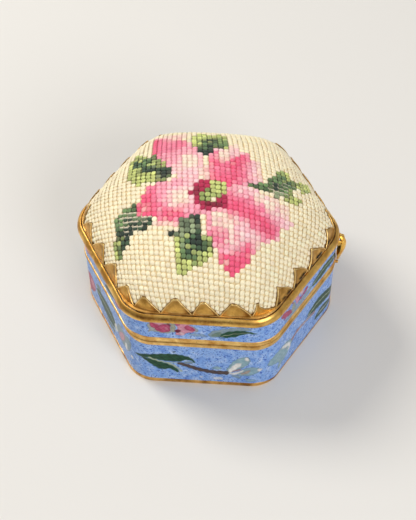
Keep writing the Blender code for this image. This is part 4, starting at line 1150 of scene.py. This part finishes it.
def shaded_colours(column, row):
    """Thread colours as worked: a stitch mixes in some near places of its kind, so shades run together."""
    own, kind = chart_colours(column, row)
    blend = own * 1.0
    for spread in (0.7, 0.9, 1.2, 1.6):
        near, near_kind = chart_colours(column + rng.normal(0.0, spread, column.shape),
                                        row + rng.normal(0.0, spread, column.shape))
        blend = blend + np.where((kind != near_kind)[:, None], own, near) * 0.55
    blend = blend / 3.2
    single, single_kind = chart_colours(column + rng.normal(0.0, 1.3, column.shape),
                                        row + rng.normal(0.0, 1.3, column.shape))
    swap = (kind == LEAF) & (single_kind == LEAF)
    blend[swap] = 0.40 * own[swap] + 0.60 * single[swap]
    return blend, kind


def gap_shade_colour(colour, kind):
    """Painted shade deep between stitches: the thread darkened, warm tan in the ground, and elsewhere a darker
    tone of its own.
    """
    colour = np.clip(colour, 0.0, 1.0)
    leafy = (kind == LEAF)[..., None]
    deep = np.where(leafy, 0.45, 1.0) * colour ** np.where(leafy, 1.5, 1.0) * np.array([1.0, 0.84, 0.88])
    return np.where((kind == GROUND)[..., None], colour * np.array([1.0, 0.90, 0.71]), deep)


def stitch_places():
    """Canvas places of the stitches on the crown, down to its foot: whole columns, and rows as they fall."""
    columns = np.arange(-STITCH_COLUMNS, STITCH_COLUMNS + 1, dtype=float)
    rows = np.arange(-STITCH_ROWS, STITCH_ROWS + 1, dtype=float)
    column, row = (grid.ravel() for grid in np.meshgrid(columns, rows))
    row = row + row_fall(column)[0]
    across, up = column * COLUMN_PITCH, row * ROW_PITCH
    bearing = np.arctan2(up, across) + CANVAS_TURN
    bearing = (bearing + math.pi) % (2 * math.pi) - math.pi
    seen = np.hypot(across, up) < crown_limit(bearing) - 0.3 * MM
    return column[seen], row[seen]


def stitch_pattern():
    """One stitch in canvas units: two strands with a crease between them, drawn in at both ends.

    Each ring of ten points goes over the strands and closes below them: its places are across times its
    width, and its heights are arch times its swell.
    """
    across = np.array([-0.51, -0.42, -0.27, -0.13, 0.0, 0.13, 0.27, 0.42, 0.51, 0.0])
    arch = np.array([0.34, 0.64, 0.90, 1.0, 0.74, 1.0, 0.90, 0.64, 0.34, -0.3])
    along = np.array([-0.49, -0.33, 0.0, 0.33, 0.49])
    swell = np.array([0.28, 0.72, 1.0, 0.72, 0.28])
    width = np.array([0.42, 0.80, 1.0, 0.80, 0.42])
    x = across[None, :] * width[:, None]
    y = np.broadcast_to(along[:, None], x.shape)
    z = arch[None, :] * swell[:, None]
    ring = np.stack([x, y, z], axis=-1).reshape(-1, 3)
    ends = np.array([[0.0, -0.55, -0.2], [0.0, 0.55, -0.2]])
    return np.vstack([ring, ends])


def stitch_faces(rows=5, ring=10):
    """Quads and triangles of one stitch, facing outward."""
    return grid_quads(rows, ring, wrap_columns=True)[:, ::-1], end_fans(rows, ring)[:, ::-1]


def make_stitches():
    """Every stitch leans, varies a little in size and place, and takes its colour from the chart.

    Its points stand off the crown by their share of its lift, less how deep it is sunk. Painted shade darkens
    it deep between stitches and in its crease. Where pale thread shows between leaf rows, the upper end of
    about every second stitch is ivory.
    """
    column, row = stitch_places()
    colours, kind = shaded_colours(column, row)
    count = len(column)
    pattern = stitch_pattern()
    flower = (kind == PETAL) | (kind == HEART)
    bare = inside_any(column, row, BARE) & (kind == LEAF)
    lean = STITCH_LEAN + rng.normal(0.0, 0.06, count)
    wide = 1.0 + rng.normal(0.0, 0.06, count)
    long = 1.0 + rng.normal(0.0, 0.05, count)
    shift = rng.normal(0.0, 0.035, (count, 2))
    lift = STITCH_LIFT * np.where(flower, 0.80, 1.0) * (1.0 + rng.normal(0.0, 0.10, count))
    x = pattern[None, :, 0] * wide[:, None]
    y = pattern[None, :, 1] * long[:, None]
    across = x + y * np.tan(lean)[:, None] * 0.9 + shift[:, :1] + column[:, None]
    up = y + x * row_fall(column)[1][:, None] + shift[:, 1:] + row[:, None]
    point, normal = canvas_point(across, up)
    points = point + normal * (pattern[None, :, 2] * lift[:, None] - STITCH_SUNK)[..., None]
    scatter = np.where(kind == LEAF, 0.18, 0.04)[:, None]
    tint = 1.0 + rng.normal(0.0, 1.0, (count, 1)) * scatter + rng.normal(0.0, 0.006, (count, 3))
    colours = np.clip(colours * tint, 0.0, 1.0)
    # Painted shade: low on each stitch the colour passes into the gap's darker tone, and it dims in the crease
    crease = (pattern[:, 0] == 0.0) & (pattern[:, 2] > 0.0)
    shade = (np.clip(1.9 * pattern[:, 2], 0.0, 1.0) * np.where(crease, 0.72, 1.0))[None, :, None]
    vertex_colours = gap_shade_colour(colours, kind)[:, None, :] * (1.0 - shade) + colours[:, None, :] * shade
    bare = bare & (rng.random(count) < 0.55)
    ivory = (bare[:, None] * np.interp(pattern[:, 1], (0.0, 0.33, 0.49), (0.0, 0.75, 1.0)))[..., None]
    vertex_colours = vertex_colours * (1.0 - ivory) + THREADS["ivory"] * ivory
    quads, triangles = stitch_faces()
    pieces = (("ground_stitches", kind == GROUND), ("flower_stitches", flower),
              ("leaf_stitches", kind == LEAF))
    for name, chosen in pieces:
        every = (chosen.sum(), len(pattern))
        piece = make_piece(name, points[chosen], repeat_faces(quads, *every), repeat_faces(triangles, *every),
                           colours=vertex_colours[chosen].reshape(-1, 3))
        dress(piece, "lid", THREAD, "needlepoint")


def make_cushion():
    """The canvas over its padding: a closed crown, turned in under its foot and tinted with the painted shade
    between its stitches.
    """
    directions, rings = 300, 96
    bearing = np.arange(directions) * 2 * math.pi / directions - math.pi
    distance = np.linspace(1.0, 0.0, rings, endpoint=False)[:, None] * crown_limit(bearing)
    across, up = distance * np.cos(bearing), distance * np.sin(bearing)
    point = crown_point(across, up)
    small = 0.05 * MM
    normal = np.cross(crown_point(across + small, up) - point, crown_point(across, up + small) - point)
    normal /= np.linalg.norm(normal, axis=-1, keepdims=True)
    top = point - normal * CANVAS_DEPTH
    tuck = top[0] * np.array([0.97, 0.97, 1.0]) - np.array([0.0, 0.0, 0.10 * MM])
    rows = np.concatenate([tuck[None], top], axis=0)
    column, row = canvas_place(across, up)
    # Painted shade: the canvas takes the darkened tone of the gaps between stitches
    gap = gap_shade_colour(*chart_colours(np.round(column), np.round(row)))
    gap[inside_any(column, row, BARE)] = THREADS["cream"] * 0.9
    gap = np.concatenate([gap[:1], gap], axis=0)
    poles = [[*TOP_SHIFT, rows[0, :, 2].mean()], [*TOP_SHIFT, CROWN_TOP - CANVAS_DEPTH]]
    tints = np.vstack([gap.reshape(-1, 3), gap[0, :1], gap[-1, :1]])
    cushion = make_piece("cushion", np.vstack([rows.reshape(-1, 3), poles]),
                         grid_quads(rings + 1, directions, wrap_columns=True),
                         end_fans(rings + 1, directions), colours=tints)
    dress(cushion, "lid", CANVAS, "needlepoint", "needlepoint_cover", "cushion_padding")


# Teeth of the prong collar

# Notches between teeth, in mm round the wall from the middle of the front flat; the back ones are evenly cut
SEEN_NOTCHES = (-44.1, -37.2, -30.4, -23.0, -15.9, -8.9, -1.6, 4.7, 12.4, 18.9, 25.9, 32.4, 40.2, 47.3)
BACK_TEETH = 15
# Each seen tooth in mm: run and height of both ends of its tip, how far its two edges bow out, and its lift
SEEN_TEETH = (
    (-42.2, 31.45, -41.3, 32.1, 0.3, 0.1, 0.10), (-34.6, 31.85, -33.3, 32.45, 0.3, 0.2, 0.05),
    (-27.4, 31.85, -26.3, 32.55, 0.3, 0.2, 0.05), (-20.2, 31.45, -19.2, 31.7, 0.2, 0.2, 0.08),
    (-14.4, 31.5, -13.4, 31.6, 0.1, 0.4, 0.05), (-6.5, 32.1, -5.3, 32.2, 0.2, 0.2, 0.05),
    (0.3, 31.7, 1.5, 31.8, 0.2, 0.2, 0.05), (7.7, 31.7, 8.9, 31.6, 0.3, 0.4, 0.05),
    (14.0, 31.4, 14.7, 31.4, -0.1, -1.3, 0.10), (21.1, 32.4, 22.4, 31.6, -0.2, 0.5, 0.05),
    (28.2, 32.5, 30.5, 31.0, -0.2, 0.3, 0.08), (35.7, 32.5, 38.4, 30.6, -0.2, 0.2, 0.30),
    (43.6, 31.8, 45.6, 30.7, -0.1, 0.2, 0.10),
)
NOTCH_HEIGHT = 28.55
NOTCH_GAP = 0.04
# How far teeth stand off the crown in mm, and how high their rims and the ridge along their feet stand on them
TOOTH_STAND, RIM_STAND, RIDGE_STAND = 0.32, 0.21, 0.12

# Painted shadows in the gaps at the teeth's feet, as dark slivers: from and to in mm round the wall, height of
# the middle, and half their height
SLOT_SHADOWS = (
    (20.0, 20.9, 28.74, 0.12), (21.6, 23.0, 28.84, 0.14), (23.4, 25.2, 28.98, 0.20),
    (26.6, 27.6, 28.70, 0.12), (28.6, 31.4, 29.04, 0.24), (33.4, 34.2, 28.74, 0.13),
    (36.0, 38.6, 29.08, 0.27), (41.2, 43.0, 28.98, 0.20),
)


def tooth_section():
    """Section of a tooth with a raised edge: shares of the half width, of the edge's width, and outward."""
    outer = [(-1, 0.0, 0.0), (-1, 0.20, 0.80), (-1, 0.60, 1.0), (-1, 1.05, 0.60), (-1, 1.35, 0.20),
             (-0.33, 0.0, 0.10)]
    mirrored = [(-share, -edge, out) for share, edge, out in reversed(outer)]
    inner = [(1, -0.25, -0.9), (0.33, 0.0, -1.0), (-0.33, 0.0, -1.0), (-1, 0.25, -0.9)]
    return np.array(outer + mirrored + inner)


def tooth_table():
    """Notches and teeth all round: the seen ones as they are, the back ones even with a little scatter."""
    back = np.linspace(SEEN_NOTCHES[-1], HEX_LENGTH / MM + SEEN_NOTCHES[0], BACK_TEETH + 1)
    middle = (back[:-1] + back[1:]) / 2 + rng.normal(0.0, 0.3, BACK_TEETH)
    height = 31.8 + rng.normal(0.0, 0.25, BACK_TEETH)
    slant = rng.normal(0.0, 0.35, BACK_TEETH)
    plain = np.full(BACK_TEETH, 0.15)
    tips = np.column_stack([middle - 0.6, height - slant, middle + 0.6, height + slant,
                            plain, plain, plain * 0.5])
    return np.concatenate([SEEN_NOTCHES, back[1:]]), np.vstack([SEEN_TEETH, tips])


def crown_contour(run, height, offset):
    """Point outside the crown at a height above each place of the hexagon.

    The height gives the level of the crown's line there, dividing over and over turns the level into its
    share of the foot's reach, and the offset stands off along the wall's normal.
    """
    wall, normal = along_hexagon(run, np.full(run.shape, -0.8 * MM))
    bearing = np.arctan2(wall[..., 1], wall[..., 0])
    edge, fullness = crown_edge(bearing)
    risen = np.clip((height - CROWN_FOOT) / (CROWN_TOP - CROWN_FOOT), 0.0, 1.0)
    level = (1.0 - risen ** CROWN_INNER) ** (1.0 / CROWN_OUTER)
    share = level
    for _ in range(10):
        share = level / (fullness * (1.0 - share ** FOOT_BLEND) + share ** FOOT_BLEND)
    direction = np.stack([np.cos(bearing), np.sin(bearing)], axis=-1)
    contour = (share * edge)[..., None] * direction + TOP_SHIFT + normal * offset[..., None]
    return np.concatenate([contour, height[..., None]], axis=-1)


def tooth_plates(notches, table, climb):
    """Places of all teeth as run, height and outward in mm, and how much of each place takes the rims' painted
    highlight.

    A tooth is a thin plate between edges that run from its notches to the ends of its tip: climb is the
    share of that way at each of its rows, and the edges bow out by half a wave. It stands just off the
    crown, lifted more towards its tip, with a raised rim round its edges and tip and a low ridge along its
    foot.
    """
    first_run, first_height, last_run, last_height, first_bow, last_bow, lift = table.T[:, :, None]
    section = tooth_section()
    rise = np.maximum(climb, 0.0)
    bow = np.sin(math.pi * rise)
    start, end = notches[:-1, None] + NOTCH_GAP, notches[1:, None] - NOTCH_GAP
    left = start + (first_run - start) * rise - first_bow * bow
    right = end + (last_run - end) * rise + last_bow * bow
    left_height = NOTCH_HEIGHT + (first_height - NOTCH_HEIGHT) * climb
    right_height = NOTCH_HEIGHT + (last_height - NOTCH_HEIGHT) * climb
    centre, half = (left + right) / 2, (right - left) / 2
    edge = np.minimum(0.30, 0.6 * half)
    run = centre[..., None] + half[..., None] * section[:, 0] + edge[..., None] * section[:, 1]
    across = (run - left[..., None]) / (right - left)[..., None]
    height = left_height[..., None] * (1.0 - across) + right_height[..., None] * across
    below_tip = (1.0 - rise) * 3.4
    tip_rim = np.exp(-((below_tip - 0.20) / 0.16) ** 2)[..., None]
    raised = np.where(section[:, 2] >= 0.0, np.maximum(section[:, 2], tip_rim * 0.95), section[:, 2])
    ridge = RIDGE_STAND * np.exp(-((height - 28.45) / 0.20) ** 2)
    outward = TOOTH_STAND + (lift * rise ** 1.5)[..., None] + raised * RIM_STAND + ridge
    # Share of painted highlight: the raised rims and tip, and the ridge along the feet
    rim = np.clip(np.maximum(np.broadcast_to(raised, run.shape), ridge * 5.0), 0.0, 1.0)
    return run, height, outward, rim


def make_teeth():
    """All teeth as one piece: rims with a painted highlight, faces that darken towards the tips, and film over
    the feet.
    """
    notches, table = tooth_table()
    climb = np.concatenate([[-0.24, -0.10], np.linspace(0.0, 0.88, 12), [0.91, 0.94, 0.965, 0.985, 1.0]])
    run, height, outward, rim = tooth_plates(notches, table, climb[None, :])
    upper = np.clip((height - 29.5) / 2.5, 0.0, 1.0)[..., None]
    face = linear(206, 156, 70) * (1.0 - upper) + linear(158, 110, 42) * upper
    # Painted highlight: the rims and the ridge along the feet take a pale gold
    colours = face * (1.0 - rim[..., None]) + linear(255, 226, 156) * rim[..., None]
    film = 0.8 * np.exp(-np.maximum(height - 28.0, 0.0) / 0.5)
    count, rows, ring = run.shape
    every = (count, rows * ring)
    teeth = make_piece("gilt_teeth", crown_contour(run * MM, height * MM, outward * MM),
                       repeat_faces(grid_quads(rows, ring, wrap_columns=True), *every),
                       repeat_faces(end_caps(rows, ring), *every), colours=colours, extra=film)
    dress(teeth, "lid", GILT_TEETH, "gilt_brass", "prong_collar")


def make_collar():
    """The strip that the teeth are cut from, and the crust between it and the bezel."""
    runs = corner_rich_runs(24, 14)
    section = rounded_section(-2.80 * MM, -0.42 * MM, BEZEL_TOP - 1.2 * MM, BEZEL_TOP + 0.34 * MM, 0.12 * MM)
    strip = sweep_section("collar_strip", section, runs, wave=0.04 * MM, shift=TOP_SHIFT)
    dress(strip, "lid", GILT, "gilt_brass")
    section = rounded_section(-0.60 * MM, -0.24 * MM, BEZEL_TOP - 1.4 * MM, BEZEL_TOP - 0.05 * MM, 0.1 * MM)
    crust = sweep_section("tarnish_line", section, runs, shift=TOP_SHIFT)
    dress(crust, "lid", TARNISH, "gilt_brass")


def make_slot_shadows():
    """Each gap's painted shadow is a low dark sliver on a tooth's face, as high as the root of half a sine
    wave along it.
    """
    begin, end, middle, half = np.array(SLOT_SHADOWS).T[:, :, None]
    share = np.linspace(0.0, 1.0, 16)
    run = begin + (end - begin) * share
    reach = half * np.sqrt(np.sin(math.pi * np.clip(share, 0.02, 0.98))) * (1.0 + 0.3 * np.sin(5.0 * run))
    section = np.array([(-1.0, 0.0), (-0.6, 0.04), (0.6, 0.04), (1.0, 0.0), (0.0, -0.10)])
    height = (middle + 0.05 * np.sin(2.1 * run))[..., None] + reach[..., None] * section[:, 0]
    run = np.broadcast_to(run[..., None], height.shape)
    outward = np.broadcast_to(0.50 + section[:, 1], height.shape)
    points = crown_contour(run * MM, height * MM, outward * MM)
    count, rows, ring = points.shape[:3]
    every = (count, rows * ring)
    slots = make_piece("foot_slot_shadows", points, repeat_faces(grid_quads(rows, ring, wrap_columns=True), *every),
                       repeat_faces(end_caps(rows, ring), *every))
    dress(slots, "lid", SLOT_SHADOW, "gilt_brass")


# Hasp, its bracket and the keeper bead

def bowed_plate(line, thick, beaded, steps=40):
    """A plate bowed away from the wall, from a line of heights, reaches and half widths in mm.

    Across it the metal falls back towards the wall with the square of the distance from the middle. The
    outer face runs one way round each row, the inner face back. A beaded plate has a round bead along its
    edges.
    """
    line = np.array(line)
    length = np.concatenate([[0.0], np.cumsum(np.hypot(*np.diff(line[:, :2], axis=0).T))])
    place = np.linspace(0.0, length[-1], steps)
    height, reach, half = (np.interp(place, length, column) for column in line.T)
    soft = np.array([0.25, 0.5, 0.25])
    height[1:-1], reach[1:-1] = (np.convolve(values, soft, "valid") for values in (height, reach))
    tangent = np.stack([np.gradient(reach), np.gradient(height)])
    tangent /= np.hypot(*tangent)
    outward = np.stack([tangent[1], -tangent[0]])
    outward = np.where(outward[0] < 0, -outward, outward)
    share = np.array([-1.0, -0.98, -0.86, -0.70, -0.40, 0.0, 0.40, 0.70, 0.86, 0.98, 1.0])
    bead = np.array([-0.14, 0.04, 0.10, 0.0, 0.0, 0.0, 0.0, 0.0, 0.10, 0.04, -0.14])
    back = np.array([0.06, 0.12, 0.02, 0.0, 0.0, 0.0, 0.02, 0.12, 0.06])
    ring_share = np.concatenate([share, share[-2:0:-1]])
    ring_out = np.concatenate([bead * beaded, -thick - back * beaded])
    ring_out = ring_out[None, :] - 0.75 * ring_share[None, :] ** 2 * np.minimum(half, 1.5)[:, None]
    x = reach[:, None] + outward[0][:, None] * ring_out
    z = height[:, None] + outward[1][:, None] * ring_out
    y = half[:, None] * ring_share[None, :]
    return np.stack([x, y, z], axis=-1) * MM


def make_plates():
    """The hasp's beaded leaf that closes over the seam, and the cap on the lid over the leaf's upper end."""
    leaf = bowed_plate([(26.08, 32.78, 0.90), (25.8, 32.98, 1.05), (24.8, 33.35, 1.30), (23.6, 33.45, 1.52),
                        (22.4, 33.35, 1.60), (21.0, 33.0, 1.55), (19.6, 32.6, 1.28), (18.4, 32.3, 0.85),
                        (17.7, 32.15, 0.45)], 0.26, 1.0)
    dress(closed_stack("hasp_leaf", leaf, inside_out=True), "hasp", LIT_GILT_HASP, "gilt_brass", "clasp_hasp")
    cap = bowed_plate([(27.0, 31.80, 0.50), (26.82, 32.2, 0.72), (26.55, 32.6, 0.88), (26.30, 32.88, 0.96)],
                      0.12, 0.0, 10)
    dress(closed_stack("bracket_cap", cap, inside_out=True), "lid", LIT_GILT_HASP, "gilt_brass")


def make_pivot():
    """The hasp's barrel, a tube that swings round the lid's pin, and the pin with its heads."""
    barrel = turned_rings(HASP_PIVOT, np.array([-0.95, -0.92, -0.5, 0.5, 0.92, 0.95, 0.92, -0.92]) * MM,
                          np.array([0.40, 0.52, 0.56, 0.56, 0.52, 0.40, 0.30, 0.30]) * MM)
    quads = grid_quads(*barrel.shape[:2], wrap_rows=True, wrap_columns=True)
    dress(make_piece("hasp_barrel", barrel, quads), "hasp", LIT_GILT_HASP, "gilt_brass")
    pin = turned_rings(HASP_PIVOT, np.array([-1.55, -1.52, -1.38, -1.36, 1.36, 1.38, 1.52, 1.55]) * MM,
                       np.array([0.16, 0.34, 0.36, 0.24, 0.24, 0.36, 0.34, 0.16]) * MM)
    dress(closed_stack("hasp_pin", pin), "lid", LIT_GILT_HASP, "gilt_brass", "clasp_pin")


def make_cheeks():
    """Two cheeks that carry the pin: round at the nose, drawn in at both faces, and let into the wall."""
    turn = np.linspace(-math.pi / 2, math.pi / 2, 13)
    nose = np.column_stack([0.52 * np.cos(turn), 0.52 * np.sin(turn)]) + HASP_PIVOT[[0, 2]] / MM
    outline = np.vstack([nose, [(31.2, 26.5), (31.2, 24.1)]])
    middle = outline.mean(axis=0)
    flat = middle + (outline - middle) * np.array([0.90, 1.0, 1.0, 0.90])[:, None, None]
    sides = (("bracket_front_cheek", -1, ("clasp_bracket",)), ("bracket_back_cheek", 1, ()))
    for name, side, nodes in sides:
        places = np.broadcast_to(np.array([1.0, 1.05, 1.28, 1.33])[:, None] * side, flat.shape[:2])
        cheek = np.stack([flat[..., 0], places, flat[..., 1]], axis=-1)[::side] * MM
        dress(closed_stack(name, cheek, inside_out=True), "lid", LIT_GILT_HASP, "gilt_brass", *nodes)


def make_keeper():
    """A small bead on the base's band under the hasp: half an ellipse, turned, on a short neck."""
    low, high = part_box("clasp_keeper")
    radius = (high[2] - low[2]) / 2
    rise = np.linspace(math.pi / 2, 0.05, 9)
    places = np.concatenate([[-radius], 0.5 * radius * np.cos(rise)]) - 0.35 * radius
    radii = np.concatenate([[0.8 * radius], radius * np.sin(rise)]) * 0.75
    keeper = turned_rings((low[0], 0.0, (low[2] + high[2]) / 2), places, radii, axis=0)
    dress(closed_stack("keeper_bead", keeper, inside_out=True), "base", GILT, "gilt_brass", "clasp_keeper")


# CAD nodes that keep their shape

def dress_node(node, material):
    """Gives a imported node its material."""
    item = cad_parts[node]
    item.data.materials.clear()
    item.data.materials.append(material)


def dress_nodes():
    """Materials for the nodes that nothing replaces."""
    for node in ("base_collar", "lid_deck"):
        dress_node(node, GILT_INSIDE)
    dress_node("base_floor", PLAIN_ENAMEL)
    for node in ("hinge_base_leaf", "hinge_lid_leaf", "hinge_pin"):
        dress_node(node, GILT)
    dress_node("cushion_card", CARD)


# Studio

def make_stage():
    """The floor that the box stands on."""
    half = 1.2
    points = np.array([[-half, -half, 0.0], [half, -half, 0.0], [half, half, 0.0], [-half, half, 0.0]])
    floor = make_piece("floor", points, np.array([[0, 1, 2, 3]]))
    floor.data.materials.append(FLOOR)


def add_area(name, place, size, power, colour):
    """A round soft light that is turned to the middle of the box."""
    light = bpy.data.lights.new(name, "AREA")
    light.shape = "DISK"
    light.size = size
    light.energy = power
    light.color = colour
    item = bpy.data.objects.new(name, light)
    bpy.context.scene.collection.objects.link(item)
    item.location = place
    item.rotation_euler = (Vector((0.0, 0.0, 0.02)) - Vector(place)).to_track_quat("-Z", "Y").to_euler()


def make_lights():
    """A window behind to the left, a fill in front to the right, a faint light above, and a pale world."""
    add_area("window", (-0.45, 0.26, 0.55), 0.30, 3.45, (1.0, 0.97, 0.90))
    add_area("front_fill", (0.38, -0.52, 0.46), 0.40, 2.8, (0.98, 0.98, 1.0))
    add_area("top", (0.05, 0.05, 0.80), 0.60, 0.7, (1.0, 0.99, 0.96))
    world = bpy.data.worlds.new("studio")
    bpy.context.scene.world = world
    world.use_nodes = True
    background = world.node_tree.nodes["Background"]
    background.inputs["Color"].default_value = (0.82, 0.83, 0.85, 1.0)
    background.inputs["Strength"].default_value = 0.42


def make_camera():
    """The photograph's camera: back points from the box to it, and it rolls round that line."""
    level = Vector((math.cos(VIEW_AZIMUTH), math.sin(VIEW_AZIMUTH), 0.0))
    outward = Vector((math.sin(VIEW_AZIMUTH), -math.cos(VIEW_AZIMUTH), 0.0))
    back = outward * math.cos(VIEW_ELEVATION) + Vector((0.0, 0.0, math.sin(VIEW_ELEVATION)))
    upright = back.cross(level)
    right = level * math.cos(VIEW_ROLL) + upright * math.sin(VIEW_ROLL)
    upright = upright * math.cos(VIEW_ROLL) - level * math.sin(VIEW_ROLL)
    target = Vector((0.0, 0.0, VIEW_TARGET_HEIGHT))
    place = target + back * VIEW_DISTANCE + right * VIEW_RIGHT + upright * VIEW_UP
    data = bpy.data.cameras.new("camera")
    data.sensor_width = SENSOR_MM
    data.lens = FOCAL_PX / PHOTO_HEIGHT_PX * SENSOR_MM
    data.clip_start = 10.0 * MM
    data.clip_end = 10.0
    camera = bpy.data.objects.new("camera", data)
    bpy.context.scene.collection.objects.link(camera)
    camera.matrix_world = Matrix.Translation(place) @ Matrix((right, upright, back)).transposed().to_4x4()
    bpy.context.scene.camera = camera


make_walls()
make_rims()
make_cushion()
make_stitches()
make_teeth()
make_collar()
make_slot_shadows()
make_plates()
make_pivot()
make_cheeks()
make_keeper()
dress_nodes()
make_stage()
make_lights()
make_camera()
bpy.context.scene.view_settings.view_transform = "Standard"
